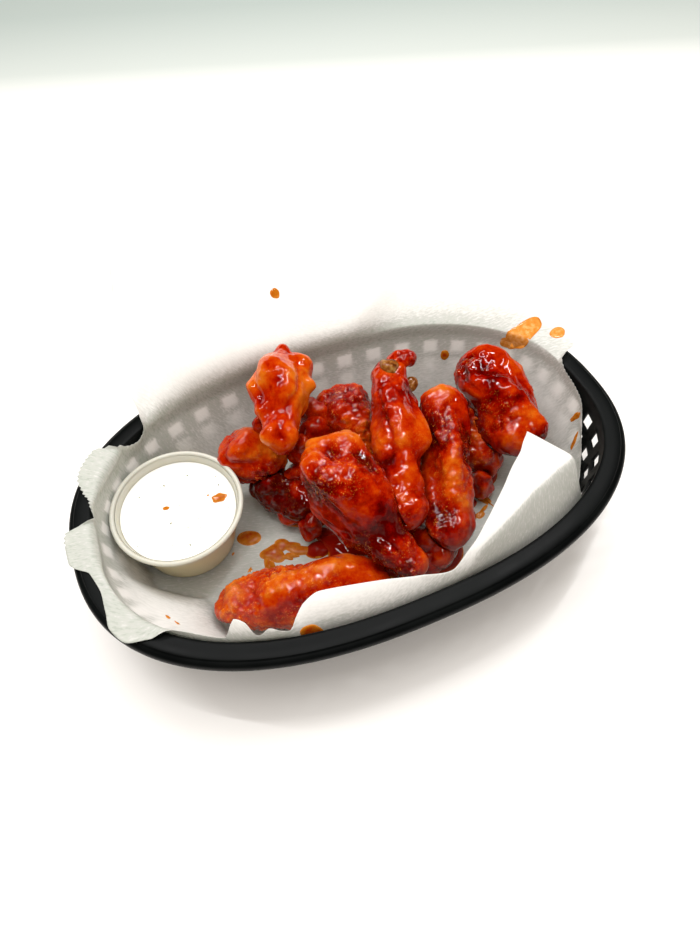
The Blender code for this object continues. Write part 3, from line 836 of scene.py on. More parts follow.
low, high = (np.array(corner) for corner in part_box("dip_cup"))
cup_place = (low + high) / 2
cup_place[1] += CUP_HEIGHT * math.sin(CUP_TILT)
cup_place[2] = low[2] + CUP_FOOT_RADIUS * math.sin(CUP_TILT)
lean = np.array(Matrix.Rotation(CUP_TILT, 3, "X"))
print("cup foot at mm:", np.round(cup_place / MM, 1))


def in_cup(points):
    """Points given in the cup's own frame, leaned and moved to where it stands."""
    return np.asarray(points) @ lean.T + cup_place


def turned(profile, wave=None):
    """Rings for each (radius, height) of a profile, between a first and a last point on the axis."""
    profile = np.array(profile)
    turn = np.linspace(0, 2 * math.pi, AROUND, endpoint=False)
    rings = np.stack([profile[:, :1] * np.cos(turn), profile[:, :1] * np.sin(turn),
                      np.repeat(profile[:, 1:], AROUND, axis=1)], -1)
    if wave is not None:
        rings[..., 2] += wave(rings)
    return rings


def cup_radius(height):
    """Outer radius of the tapered wall at a height over the foot."""
    return CUP_FOOT_RADIUS + (CUP_MOUTH_RADIUS - CUP_FOOT_RADIUS) * height / CUP_HEIGHT


# %% Cup profile
bead = np.radians(np.linspace(-75, 205, 13))
bead_radius = 1.15 * MM
bead_ring = np.column_stack([
    CUP_RIM_RADIUS - bead_radius + bead_radius * np.cos(bead),
    CUP_HEIGHT - bead_radius + bead_radius * np.sin(bead)])
wall_heights = np.array((0.8, 2.0, 6.0, 12.0, 18.0, 24.0, 27.8)) * MM
outside = [(CUP_FOOT_RADIUS - 3.0 * MM, 1.0 * MM), (CUP_FOOT_RADIUS - 1.9 * MM, 0.9 * MM),
           (CUP_FOOT_RADIUS - 1.5 * MM, 0.1 * MM), (CUP_FOOT_RADIUS - 0.9 * MM, 0.0),
           (CUP_FOOT_RADIUS - 0.2 * MM, 0.2 * MM)]
outside += [(cup_radius(height), height) for height in wall_heights]
outside += [(cup_radius(CUP_HEIGHT) + 0.3 * MM, 28.6 * MM)]
ledge = [(CUP_MOUTH_RADIUS - 0.7 * MM, 30.2 * MM), (CUP_MOUTH_RADIUS - 0.9 * MM, 29.2 * MM)]
inside = [(cup_radius(height) - CUP_WALL, height) for height in wall_heights[::-1]]
inside += [(CUP_FOOT_RADIUS - 2.5 * MM, 1.9 * MM)]
cup_profile = outside + bead_ring.tolist() + ledge + inside

# %% [markdown]
# Milky polypropylene scatters light inside the wall, so it looks warm and cloudy, with a soft gloss from the
# forming mould.

# %% Milky cup plastic
cup_plastic, tree, shader = new_material("milky_polypropylene", Roughness=0.28, IOR=1.49)
shader.inputs["Subsurface Weight"].default_value = 0.25
shader.inputs["Subsurface Radius"].default_value = (3 * MM, 2.4 * MM, 1.8 * MM)
shader.inputs["Subsurface Scale"].default_value = 1.0
place = add_node(tree, "ShaderNodeTexCoord")
cloud = add_node(tree, "ShaderNodeTexNoise", sockets={
    "Vector": place.outputs["Object"], "Scale": 1 / (9 * MM), "Detail": 3.0})
parts = add_node(tree, "ShaderNodeSeparateXYZ", sockets={"Vector": place.outputs["Object"]})
height = add_node(tree, "ShaderNodeMapRange", sockets={
    "Value": parts.outputs["Z"], "From Min": 12 * MM, "From Max": 36 * MM, "To Min": -0.12, "To Max": 0.88})
cloudy = add_node(tree, "ShaderNodeMath", {"operation": "MULTIPLY_ADD"}, {
    0: cloud.outputs["Fac"], 1: 0.24, 2: height.outputs["Result"]})
milk = add_node(tree, "ShaderNodeValToRGB", {"stops": [
    (0.0, linear("#F4E6BC")), (0.45, linear("#E6D8AC")), (0.8, linear("#D2CFBC")), (1.0, linear("#D2D1C6"))]},
    {"Fac": cloudy.outputs["Value"]})
tree.links.new(milk.outputs["Color"], shader.inputs["Base Color"])
behind = add_node(tree, "ShaderNodeBsdfTranslucent", sockets={"Color": milk.outputs["Color"]})
both = add_node(tree, "ShaderNodeMixShader", sockets={
    0: 0.2, 1: shader.outputs["BSDF"], 2: behind.outputs["BSDF"]})
tree.links.new(both.outputs["Shader"], tree.nodes["Material Output"].inputs["Surface"])

# %% Make the cup
rings = in_cup(turned(cup_profile))
points, faces = tube_with_ends(rings, in_cup((0, 0, 1.0 * MM)), in_cup((0, 0, 1.8 * MM)))
cup = add_piece("portion_cup", points, faces, cup_plastic, 50)
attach(cup, "root")
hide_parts("dip_cup")
print("cup triangles:", sum(len(face.vertices) - 2 for face in cup.data.polygons))

# %% [markdown]
# The dip is a thick white dressing with a satin skin. Light goes a few millimetres into it, which softens its
# shading, and its colour swirls faintly between cream and white.

# %% White dressing
dressing, tree, shader = new_material("white_herb_dressing", Roughness=0.32, IOR=1.4)
shader.inputs["Subsurface Weight"].default_value = 0.4
shader.inputs["Subsurface Radius"].default_value = (4 * MM, 3.4 * MM, 2.6 * MM)
shader.inputs["Subsurface Scale"].default_value = 1.0
place = add_node(tree, "ShaderNodeTexCoord")
swirl = add_node(tree, "ShaderNodeTexNoise", sockets={
    "Vector": place.outputs["Object"], "Scale": 1 / (6 * MM), "Detail": 4.0, "Distortion": 0.6})
cream = add_node(tree, "ShaderNodeValToRGB", {"stops": [(0.3, linear("#F6F2E4")), (0.65, linear("#FCFAF3"))]},
                 {"Fac": swirl.outputs["Fac"]})
tree.links.new(cream.outputs["Color"], shader.inputs["Base Color"])
skin = add_node(tree, "ShaderNodeBump", sockets={
    "Strength": 0.3, "Distance": 0.15 * MM, "Height": swirl.outputs["Fac"]})
tree.links.new(skin.outputs["Normal"], shader.inputs["Normal"])

# %% Make the dip
dip_top = CUP_HEIGHT - DIP_BELOW_RIM
dip_edge = cup_radius(dip_top) - CUP_WALL - 0.15 * MM


def dip_wave(points):
    """Ripples of the dip's top: low smooth noise that fades at the wall."""
    reach = np.linalg.norm(points[..., :2], axis=-1) / dip_edge
    top = points[..., 2] > dip_top - 0.1 * MM
    return top * np.clip(1 - reach**6, 0, 1) * MM * (
        0.34 * soft_noise(points, 9 * MM, 11) + 0.12 * soft_noise(points, 3.4 * MM, 12))


bottom = [(19.0 * MM, 2.4 * MM), (cup_radius(3 * MM) - 1.6 * MM, 2.8 * MM)]
bottom += [(cup_radius(height) - 1.2 * MM, height) for height in (8 * MM, 16 * MM, 20 * MM)]
bottom += [(dip_edge - 0.3 * MM, 24.0 * MM), (dip_edge + 0.05 * MM, dip_top + 0.6 * MM)]
reaches = np.linspace(0.985, 0.03, 44)
top = [(dip_edge * reach, dip_top + 0.6 * MM * math.exp((reach - 1) / 0.03)) for reach in reaches]
rings = in_cup(turned(bottom + top, dip_wave))
points, faces = tube_with_ends(rings, in_cup((0, 0, 2.4 * MM)), in_cup((0, 0, dip_top)))
dip = add_piece("herb_dip", points, faces, dressing, 60)
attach(dip, "root")
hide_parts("dip")
print("dip is", round(2 * dip_edge / MM, 1), "mm across at the top")

# %% Herb flecks
FLECKS = 64


def herb_flecks():
    """Thin six-sided flakes scattered over the dip's top, each half sunk and turned its own way."""
    rng = np.random.default_rng(21)
    reach = dip_edge * 0.93 * np.sqrt(rng.uniform(0, 1, FLECKS))
    heading = rng.uniform(0, 2 * math.pi, FLECKS)
    centre = np.stack([reach * np.cos(heading), reach * np.sin(heading), np.full(FLECKS, dip_top)], -1)
    centre[:, 2] += dip_wave(centre) + 0.02 * MM
    size = rng.uniform(0.18, 0.42, FLECKS) * MM
    size[:7] *= 2.0
    slim = rng.uniform(0.3, 0.8, FLECKS)
    spin = rng.uniform(0, math.pi, FLECKS)
    turn = np.linspace(0, 2 * math.pi, 6, endpoint=False)
    along, across = size[:, None] * np.cos(turn), (size * slim)[:, None] * np.sin(turn)
    x = along * np.cos(spin)[:, None] - across * np.sin(spin)[:, None]
    y = along * np.sin(spin)[:, None] + across * np.cos(spin)[:, None]
    ring = centre[:, None] + np.stack([x, y, np.zeros_like(x)], -1)
    thickness = np.array((0, 0, 0.07 * MM))
    flakes = np.stack([ring - thickness, ring + thickness], 1)
    side = grid_quads(2, 6, round_columns=True)
    faces = []
    for start in 12 * np.arange(FLECKS):
        faces += (side + start).tolist()
        faces += [list(range(start, start + 6)), list(range(start + 6, start + 12))]
    return in_cup(flakes.reshape(-1, 3)), faces


dried_herb, tree, shader = new_material("dried_herb", Roughness=0.6)
place = add_node(tree, "ShaderNodeTexCoord")
leafy = add_node(tree, "ShaderNodeTexNoise", sockets={
    "Vector": place.outputs["Object"], "Scale": 1 / (1.5 * MM)})
green = add_node(tree, "ShaderNodeValToRGB", {"stops": [(0.35, linear("#6A6F58")),
                                                        (0.65, linear("#9C9D86"))]},
                 {"Fac": leafy.outputs["Fac"]})
tree.links.new(green.outputs["Color"], shader.inputs["Base Color"])
herbs = add_piece("herb_flecks", *herb_flecks(), dried_herb, 30)
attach(herbs, "root")
print("flecks:", FLECKS)

# %% [markdown]
# ## Wings
# Fried wings come as drumettes, with a round meaty head and a knuckle, and as flats, slimmer and
# more even. Sculpting each by hand would look right once and could not be changed. Here a wing is
# rings carried along a bowed line, with a radius that swells and tapers, then relief in layers:
# broad muscles, fried blisters and fine wrinkles, plus a few named lumps where bone or skin shows.

# %% The eleven wings
# name: head tip, tail tip (mm), head and tail radius (mm), flatness, roll (degrees), bow (mm)
WINGS = {
    "wing_01_front_flat": ((-5, -53, 20), (-80, -28, 13.5), 16.5, 12.5, 0.8, 10, 1),
    "wing_02_under_front": ((30, -49, 14.5), (6, -19, 15.0), 10.0, 9.0, 1.0, 0, 0),
    "wing_03_under_left": ((-46, 29, 16), (-14, 0, 15.5), 12.0, 10.0, 1.0, 0, 2),
    "wing_04_under_right": ((77, 25, 28), (65, -12, 18), 12.5, 11.0, 0.95, 0, 0),
    "wing_05_behind_centre": ((13, 52, 38), (6, 8, 18.5), 15.0, 12.0, 1.0, 0, 0),
    "wing_06_left_knob": ((-54, 43, 35), (-27, 25, 27), 12.5, 11.5, 1.0, 0, 0),
    "wing_07_back_left": ((-10, 68, 57), (-30, 13, 52), 13.5, 8.5, 1.0, 0, 3),
    "wing_08_right_back": ((83, 39, 46), (84, -22, 30), 18.5, 13.5, 0.85, 20, 0),
    "wing_09_centre": ((-15, 7.5, 51.5), (6.5, -56.5, 24), 20.0, 9.5, 0.9, 0, 0),
    "wing_10_tall_centre": ((36, 42, 56.5), (10.5, -38, 35), 10.5, 9.5, 1.0, 0, 3),
    "wing_11_right_centre": ((54.5, 18, 48), (27, -50, 24), 13.0, 10.5, 1.0, 0, 0),
}
# wing, the wing that presses into it
PRESSED = (
    ("wing_02_under_front", "wing_09_centre"),
    ("wing_02_under_front", "wing_11_right_centre"),
    ("wing_03_under_left", "wing_06_left_knob"),
    ("wing_05_behind_centre", "wing_09_centre"),
    ("wing_04_under_right", "wing_08_right_back"),
    ("wing_07_back_left", "wing_06_left_knob"),
    ("wing_10_tall_centre", "wing_09_centre"),
    ("wing_11_right_centre", "wing_10_tall_centre"),
    ("wing_05_behind_centre", "wing_10_tall_centre"),
)
# Radius in mm at 0.1, 0.3, 0.5, 0.7 and 0.9 of the way from head to tail
RADII = {
    "wing_01_front_flat": (13.5, 16.0, 15.5, 14.0, 10.0),
    "wing_02_under_front": (10.0, 10.5, 10.0, 9.5, 9.0),
    "wing_03_under_left": (11.0, 12.5, 11.0, 12.0, 11.0),
    "wing_04_under_right": (12.0, 13.0, 12.0, 11.5, 10.5),
    "wing_05_behind_centre": (14.0, 15.5, 14.0, 12.5, 12.0),
    "wing_06_left_knob": (12.5, 13.5, 12.5, 11.0, 11.0),
    "wing_07_back_left": (11.5, 14.0, 12.5, 8.0, 8.2),
    "wing_08_right_back": (15.5, 17.5, 17.0, 14.5, 12.5),
    "wing_09_centre": (18.5, 20.0, 15.8, 10.2, 8.4),
    "wing_10_tall_centre": (8.2, 11.6, 12.2, 9.6, 8.6),
    "wing_11_right_centre": (13.0, 13.0, 11.5, 10.5, 11.0),
}
# How blistered (1 crisp, 0 smooth) and how tan (0 red with sauce, 1 thinly coated) each one is
SKINS = {
    "wing_01_front_flat": (1.5, 0.85), "wing_02_under_front": (0.5, 0.0),
    "wing_03_under_left": (0.5, 0.0), "wing_04_under_right": (1.0, 0.35),
    "wing_05_behind_centre": (1.2, 0.20), "wing_06_left_knob": (1.5, 0.62),
    "wing_07_back_left": (0.12, 1.05), "wing_08_right_back": (0.7, 0.42),
    "wing_09_centre": (1.0, 0.16), "wing_10_tall_centre": (0.4, 0.55),
    "wing_11_right_centre": (1.0, 0.28),
}
# wing: (way along, degrees round, reach along mm, reach round mm, height mm) of lumps; below 0 is a dent
LUMPS = {
    "wing_01_front_flat": ((0.80, 70, 5, 5, -1.5), (0.88, 75, 4.5, 4.5, 3.0), (0.96, 20, 4, 4, 2.5),
                           (0.4, 95, 16, 8, 1.5)),
    "wing_03_under_left": ((0.48, 90, 4, 14, -2.5),),
    "wing_05_behind_centre": ((0.12, 160, 5, 5, 2.0), (0.1, 40, 5, 5, 2.0)),
    "wing_06_left_knob": ((0.12, 165, 3, 3, 2.5), (0.3, 60, 7, 6, 1.5)),
    "wing_07_back_left": ((0.02, 80, 3.2, 3.2, 4.0), (0.20, 25, 5.5, 5.0, 3.6), (0.42, 172, 5.5, 4.5, 5.0),
                          (0.40, 8, 3, 2.6, 3.6), (0.62, 165, 4, 3.5, 3.0), (0.70, 90, 3, 9, -1.5),
                          (0.90, 50, 4.5, 4, 2.8), (0.90, 130, 4.5, 4, 2.8), (0.93, 90, 4, 2, -1.4)),
    "wing_08_right_back": ((0.22, 100, 4, 12, -3.0), (0.30, 70, 4, 9, -2.5), (0.42, 45, 5, 6, -2.2),
                           (0.55, 30, 6, 4, -1.8),
                           (0.36, 115, 9, 8, 1.8), (0.86, 20, 5, 6, 3.0), (0.1, 60, 6, 8, 1.5)),
    "wing_09_centre": ((0.04, 30, 7, 6, 4.5), (0.06, 135, 7, 6, 4.5), (0.10, 85, 7, 3.0, -3.0),
                       (0.28, 35, 11, 6, 2.2),
                       (0.45, 100, 14, 5, -1.4), (0.95, 90, 5, 7, 1.5)),
    "wing_10_tall_centre": ((0.09, 82, 6, 3, -1.2), (0.48, 20, 9, 4, 3.2), (0.57, 25, 5, 4, 3.0),
                            (0.64, 20, 5, 5, -2.0),
                            (0.40, 150, 9, 4, -1.6), (0.93, 40, 6, 5, 2.0)),
    "wing_11_right_centre": ((0.05, 55, 6, 6, 2.5), (0.06, 130, 6, 6, 2.5), (0.35, 75, 12, 4, 2.0),
                             (0.60, 85, 14, 3.5, 2.2),
                             (0.45, 130, 14, 4, -1.8), (0.94, 80, 5, 6, 2.0)),
}

# %% Body of a wing
WING_ROWS = 150
WING_AROUND = 128
RADIUS_WAYS = (0.1, 0.3, 0.5, 0.7, 0.9)


def wing_frame(name):
    """Head tip, along, side and up directions, length and bow of a wing, in metres."""
    head, tail, _, _, _, roll, bow = WINGS[name]
    head, tail = np.array(head) * MM, np.array(tail) * MM
    length = np.linalg.norm(tail - head)
    along = (tail - head) / length
    across = np.cross((0, 0, 1), along)
    across /= np.linalg.norm(across)
    above = np.cross(along, across)
    turn = math.radians(roll)
    side = across * math.cos(turn) + above * math.sin(turn)
    return head, along, side, above * math.cos(turn) - across * math.sin(turn), length, bow * MM


def wing_radius(name, way, angle):
    """Radius: a weighted mean of the wing's own radii, where near ones weigh more, times round
    ends and lobes.
    """
    length = wing_frame(name)[4]
    known = np.array(RADII[name]) * MM
    weights = np.exp(-(((np.asarray(way)[..., None] - RADIUS_WAYS) / 0.13) ** 2)) + 1e-9
    radius = (weights * known).sum(axis=-1) / weights.sum(axis=-1)
    first, last = 1.15 * known[0] / length, 1.0 * known[-1] / length
    caps = np.sqrt(np.clip(1 - (1 - np.minimum(way / first, 1)) ** 2, 0, 1))
    caps = caps * np.sqrt(np.clip(1 - (1 - np.minimum((1 - way) / last, 1)) ** 2, 0, 1))
    lobes = 1 + 0.07 * np.sin(3 * angle + 7 * way) + 0.05 * np.cos(2 * angle + 9 * way)
    return caps * radius * lobes


def wing_middle(name, way):
    """The bowed line down the middle of a wing."""
    head, along, _, up, length, bow = wing_frame(name)
    return head + along * (length * way)[..., None] + up * (bow * np.sin(math.pi * way))[..., None]


def inside_wing(name, points, spare):
    """True where points lie inside a wing grown by spare: their distance from its line is under
    its radius.
    """
    head, along, side, up, length, _ = wing_frame(name)
    flatness = WINGS[name][4]
    way = np.clip((points - head) @ along / length, 0, 1)
    offset = points - wing_middle(name, way)
    x, y = offset @ side, offset @ up / flatness
    past = abs(offset @ along)
    return np.sqrt(x * x + y * y + past * past) < wing_radius(name, way, np.arctan2(y, x)) + spare


# %% Relief of the skin


def lump_heights(name, way, angle, length, radius):
    """Height of the named lumps: each is a rounded peak, exp(-d^2.6), of the distance along and round it."""
    total = np.zeros_like(radius)
    for at, degrees, along_mm, round_mm, height in LUMPS.get(name, ()):
        turn = (angle - math.radians(degrees) + math.pi) % (2 * math.pi) - math.pi
        distance = np.hypot((way - at) * length / (along_mm * MM), turn * radius / (round_mm * MM))
        total = total + height * MM * np.exp(-((0.87 * distance) ** 2.6))
    return total


def skin_relief(points, drawn, blistered, seed):
    """Relief in metres: muscles, narrow valleys between them, fried blisters where crisp, and fine wrinkles.

    A valley runs wherever a smooth noise crosses zero, exp(-(noise / 0.13)^2), and the noise is read
    from places squeezed along the wing, so that the valleys run mostly lengthways.
    """
    muscles = 1.5 * soft_noise(points, 13 * MM, seed) + 0.8 * soft_noise(points, 6.5 * MM, seed + 1)
    valleys = np.exp(-((soft_noise(drawn, 14 * MM, seed + 2) / 0.13) ** 2))
    valleys = valleys + 0.2 * np.exp(-((soft_noise(drawn, 6 * MM, seed + 7) / 0.2) ** 2))
    crisp = np.clip(0.45 + 1.1 * soft_noise(points, 15 * MM, seed + 3), 0.05, 1) * blistered
    bubbles = 1.1 * blisters(points, 4.2 * MM, seed + 4) + 0.7 * blisters(points, 2.2 * MM, seed + 5)
    fine = 0.3 * soft_noise(points, 2.6 * MM, seed + 6)
    return MM * (muscles - 0.9 * valleys + crisp * bubbles + fine), crisp * bubbles


def wing_surface(name, seed):
    """Grid of a wing's points, its two end points, and two values from 0 to 1: sauce thinness with painted
    light and shade, and blisters.
    """
    head, along, side, up, length, bow = wing_frame(name)
    flatness = WINGS[name][4]
    blistered, tan = SKINS[name]
    rows = np.arange(1, WING_ROWS + 1) / (WING_ROWS + 1)
    way = (0.5 - 0.5 * np.cos(math.pi * rows))[:, None]
    angle = np.linspace(0, 2 * math.pi, WING_AROUND, endpoint=False)[None, :]
    radius = wing_radius(name, np.broadcast_to(way, (WING_ROWS, WING_AROUND)), angle)
    middle = wing_middle(name, np.broadcast_to(way, radius.shape))
    offset = side * (radius * np.cos(angle))[..., None] + up * (radius * flatness * np.sin(angle))[..., None]
    points = middle + offset
    drawn = offset + (middle - head) / 2.4
    relief, bubbles = skin_relief(points, drawn, blistered, seed)
    ends = np.clip(np.sin(math.pi * way) * 5, 0, 1)
    lumps = lump_heights(name, way, angle, length, radius)
    points = points + grid_normals(points) * (relief * (0.35 + 0.65 * ends) + lumps)[..., None]
    # sauce thinness with painted light: more orange on ridges, lumps and the top of the wing, redder in
    # hollows and low down, partly painted shade
    thin_and_painted_light = np.clip(0.28 + 0.55 * (tan - 0.35) + 0.34 * soft_noise(points, 10 * MM, seed + 8)
                   + 0.20 * relief / MM + 0.10 * (points[..., 2] - middle[..., 2]) / (radius + MM)
                   + 0.07 * lumps / MM, 0, 1)
    for pushed, by in PRESSED:
        if pushed == name:
            points = pressed_by(by, points, middle)
    return points, head, head + along * length, thin_and_painted_light, np.clip(bubbles, 0, 1)


def pressed_by(name, points, middle):
    """Draws points that lie inside another wing back towards their own middle line until they are out."""
    shares = np.linspace(1.0, 0.1, 24)
    tried = middle + (points - middle) * shares[:, None, None, None]
    held = inside_wing(name, tried, 0.5 * MM)
    first = np.argmin(held, axis=0)
    return middle + (points - middle) * shares[first][..., None]


# %% [markdown]
# The sauce is butter and red pepper: deep red where it lies thick, orange where it thins over a ridge, with
# pale yellow specks of fried coating. The red in hollows and low on each wing, and the orange on ridges,
# lumps and the top, are partly that depth of sauce and partly painted shade and painted light. It is wet, so
# a clear glossy coat lies over a slightly rough body, and red light travels about a millimetre under the
# surface. Two values worked out with each wing, sauce thinness with painted light and blisters, place the
# orange and the specks.

# %% Red pepper sauce on fried skin
sauced_skin, tree, shader = new_material("red_pepper_sauce_on_fried_skin", Roughness=0.5, IOR=1.42)
shader.inputs["Specular IOR Level"].default_value = 0.0
shader.inputs["Coat Weight"].default_value = 0.9
shader.inputs["Coat Roughness"].default_value = 0.02
shader.inputs["Coat IOR"].default_value = 1.5
shader.inputs["Subsurface Weight"].default_value = 0.06
shader.inputs["Subsurface Radius"].default_value = (1.6 * MM, 0.4 * MM, 0.15 * MM)
shader.inputs["Subsurface Scale"].default_value = 1.0
place = add_node(tree, "ShaderNodeTexCoord")
thin_and_painted_light = add_node(tree, "ShaderNodeAttribute", {"attribute_name": "thin_sauce"})
bubbly = add_node(tree, "ShaderNodeAttribute", {"attribute_name": "blisters"})
blotch = add_node(tree, "ShaderNodeTexNoise", sockets={
    "Vector": place.outputs["Object"], "Scale": 1 / (3.5 * MM), "Detail": 5.0, "Roughness": 0.68})
lifted = add_node(tree, "ShaderNodeMapRange", sockets={
    "Value": blotch.outputs["Fac"], "From Min": 0.3, "From Max": 0.7, "To Min": -0.2, "To Max": 0.2})
depth = add_node(tree, "ShaderNodeMath", {"operation": "ADD", "use_clamp": True}, {
    0: thin_and_painted_light.outputs["Fac"], 1: lifted.outputs["Result"]})
sauce = add_node(tree, "ShaderNodeValToRGB", {"stops": [
    (0.0, linear("#480000")), (0.26, linear("#7E0500")), (0.48, linear("#9E1C01")),
    (0.72, linear("#B03A03")), (1.0, linear("#BE5C10"))]}, {"Fac": depth.outputs["Value"]})
grit = add_node(tree, "ShaderNodeTexNoise", sockets={
    "Vector": place.outputs["Object"], "Scale": 1 / (0.8 * MM), "Detail": 2.0})
speck = add_node(tree, "ShaderNodeMapRange", sockets={
    "Value": grit.outputs["Fac"], "From Min": 0.56, "From Max": 0.72, "To Min": 0.0, "To Max": 0.8})
on_bubbles = add_node(tree, "ShaderNodeMath", {"operation": "MULTIPLY", "use_clamp": True}, {
    0: speck.outputs["Result"], 1: bubbly.outputs["Fac"]})
speckled = add_node(tree, "ShaderNodeMix", {"data_type": "RGBA"}, {
    0: on_bubbles.outputs["Value"], 6: sauce.outputs["Color"], 7: linear("#E09038")})
tree.links.new(speckled.outputs[2], shader.inputs["Base Color"])
film = add_node(tree, "ShaderNodeTexNoise", sockets={
    "Vector": place.outputs["Object"], "Scale": 1 / (3.0 * MM), "Detail": 1.0})
wet = add_node(tree, "ShaderNodeBump", sockets={
    "Strength": 0.25, "Distance": 0.5 * MM, "Height": film.outputs["Fac"]})
tree.links.new(wet.outputs["Normal"], shader.inputs["Normal"])
tree.links.new(wet.outputs["Normal"], shader.inputs["Coat Normal"])

# %% Make the wings
for number, name in enumerate(WINGS, start=1):
    rings, first, last, thin_sauce, bubbles = wing_surface(name, 40 + 10 * number)
    points, faces = tube_with_ends(rings, first, last)
    wing = add_piece("sauced_" + name, points, faces, sauced_skin, 180)
    for label, values in (("thin_sauce", thin_sauce), ("blisters", bubbles)):
        kept = np.concatenate([[values[0].mean()], values.ravel(), [values[-1].mean()]])
        wing.data.attributes.new(label, "FLOAT", "POINT").data.foreach_set("value", kept)
    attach(wing, "root")
    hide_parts(name)
print("wings:", number, "of", 2 * WING_ROWS * WING_AROUND, "triangles each")

# %% [markdown]
# Between the wings lie loose flaps of skin and meat, glued on by the sauce, and two ends of bare
# bone stick out of the tall wing. Each is a small ball pulled to an oval and roughened by noise.

# %% Loose bits
BIT_ROWS = 26
BIT_AROUND = 36
# centre (mm), half sizes (mm), turn (degrees), roughness (mm)
SKIN_BITS = (
    ((-4.0, 41.0, 36.0), (8.5, 11.0, 10.0), 30, 1.6),
    ((-9.0, 31.5, 35.0), (8.5, 8.0, 9.0), 0, 1.6),
    ((-17.0, 27.5, 30.0), (7.5, 7.0, 10.0), 10, 1.8),
    ((-23.0, 18.0, 20.0), (8.0, 8.5, 9.0), 0, 2.0),
    ((-30.0, 6.5, 12.5), (9.0, 6.5, 8.0), -25, 1.8),
    ((-26.5, -5.0, 13.0), (5.5, 6.0, 8.0), -35, 1.5),
    ((-33.0, 39.0, 46.0), (4.5, 4.0, 4.5), 0, 1.2),
    ((42.0, 37.6, 59.5), (7.0, 4.8, 4.2), -12, 1.3),
    ((46.0, 36.8, 59.6), (3.6, 4.0, 3.8), 0, 1.2),
    ((30.6, 35.5, 58.0), (3.6, 4.2, 3.4), 60, 0.9),
    ((62.0, -17.0, 12.0), (5.5, 6.0, 9.0), 30, 1.8),
    ((70.5, -9.0, 16.0), (6.5, 6.0, 9.0), 0, 1.8),
    ((20.0, -45.0, 11.5), (11.0, 6.5, 7.5), 15, 1.8),
)
BONE_BITS = (
    ((33.6, 33.8, 61.0), (4.4, 4.6, 4.2), 0, 1.1),
    ((42.6, 29.6, 49.6), (5.4, 3.6, 3.0), 40, 1.0),
)


def bit_surface(centre, size, turn_degrees, rough, seed):
    """A ball's rings and two poles, stretched to half sizes, turned about Z and pushed out by noise."""
    down = np.linspace(0, math.pi, BIT_ROWS + 2)[1:-1, None]
    around = np.linspace(0, 2 * math.pi, BIT_AROUND, endpoint=False)[None, :]
    ball = np.stack([np.sin(down) * np.cos(around), np.sin(down) * np.sin(around),
                     np.cos(down) + 0 * around], -1)
    ball = np.concatenate([[(0.0, 0.0, 1.0)], ball.reshape(-1, 3), [(0.0, 0.0, -1.0)]])
    turn = np.array(Matrix.Rotation(math.radians(turn_degrees), 3, "Z"))
    points = (ball * size) @ turn.T + centre
    push = rough * (soft_noise(points, 5.0, seed) + 0.5 * soft_noise(points, 2.4, seed + 1))
    points = (points + (ball @ turn.T) * push[:, None]) * MM
    rings = points[1:-1].reshape(BIT_ROWS, BIT_AROUND, 3)
    # orange where a bit bulges and red in its dips: partly the depth of sauce, partly painted shade
    return *tube_with_ends(rings, points[0], points[-1]), np.clip(0.35 + 0.25 * push / rough, 0, 1)


def join_bits(rows, seed):
    """One list of points and faces for many bits, with each point's sauce-thinness value, which holds painted
    shade in their dips.
    """
    made = [bit_surface(*row, seed + number) for number, row in enumerate(rows)]
    starts = np.cumsum([0] + [len(points) for points, _, _ in made])
    faces = [[int(corner + start) for corner in face]
             for (_, faces, _), start in zip(made, starts) for face in faces]
    points = np.concatenate([points for points, _, _ in made])
    return points, faces, np.concatenate([thin_and_painted_light for _, _, thin_and_painted_light in made])


# %% Bare bone
# Cooked bone under a film of sauce: tan to grey-brown, darker in its pits, and as wet as the rest
bare_bone, tree, shader = new_material("sauce_filmed_bone", Roughness=0.5, IOR=1.45, Coat_Weight=0.7)
shader.inputs["Specular IOR Level"].default_value = 0.0
shader.inputs["Coat Roughness"].default_value = 0.06
place = add_node(tree, "ShaderNodeTexCoord")
pits = add_node(tree, "ShaderNodeTexNoise", sockets={
    "Vector": place.outputs["Object"], "Scale": 1 / (2.6 * MM), "Detail": 5.0})
bone = add_node(tree, "ShaderNodeValToRGB", {"stops": [
    (0.3, linear("#441B08")), (0.5, linear("#80481A")), (0.7, linear("#98763C"))]},
    {"Fac": pits.outputs["Fac"]})
pitted = add_node(tree, "ShaderNodeBump", sockets={
    "Strength": 0.5, "Distance": 0.4 * MM, "Height": pits.outputs["Fac"]})
tree.links.new(bone.outputs["Color"], shader.inputs["Base Color"])
tree.links.new(pitted.outputs["Normal"], shader.inputs["Normal"])

# %% Make the loose bits
for name, rows, finish, seed in (("loose_skin_bits", SKIN_BITS, sauced_skin, 700),
                                 ("bone_ends", BONE_BITS, bare_bone, 760)):
    points, faces, thin_sauce = join_bits(rows, seed)
    bits = add_piece(name, points, faces, finish, 180)
    bits.data.attributes.new("thin_sauce", "FLOAT", "POINT").data.foreach_set("value", thin_sauce)
    bits.data.attributes.new("blisters", "FLOAT", "POINT").data.foreach_set("value", 0.4 * thin_sauce)
    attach(bits, "root")
print("loose bits:", len(SKIN_BITS), "skin and", len(BONE_BITS), "bone")

# %% [markdown]
# ## Sauce off the wings
# Tossed wings drip. Sauce lies in a pool under the heap, in splashes on the floor of the liner and
# in drops thrown up its back, and a little has fallen in the dip. Each spot is a low dome with a
# wandering outline. One that lies on a slope is bent to the sheet: each of its points is a number
# of millimetres round and up the sheet from its middle, and the way up is found from the length
# of the sheet's own curve.

# %% Where the sauce lies
SPOT_RINGS = 9
SPOT_AROUND = 56
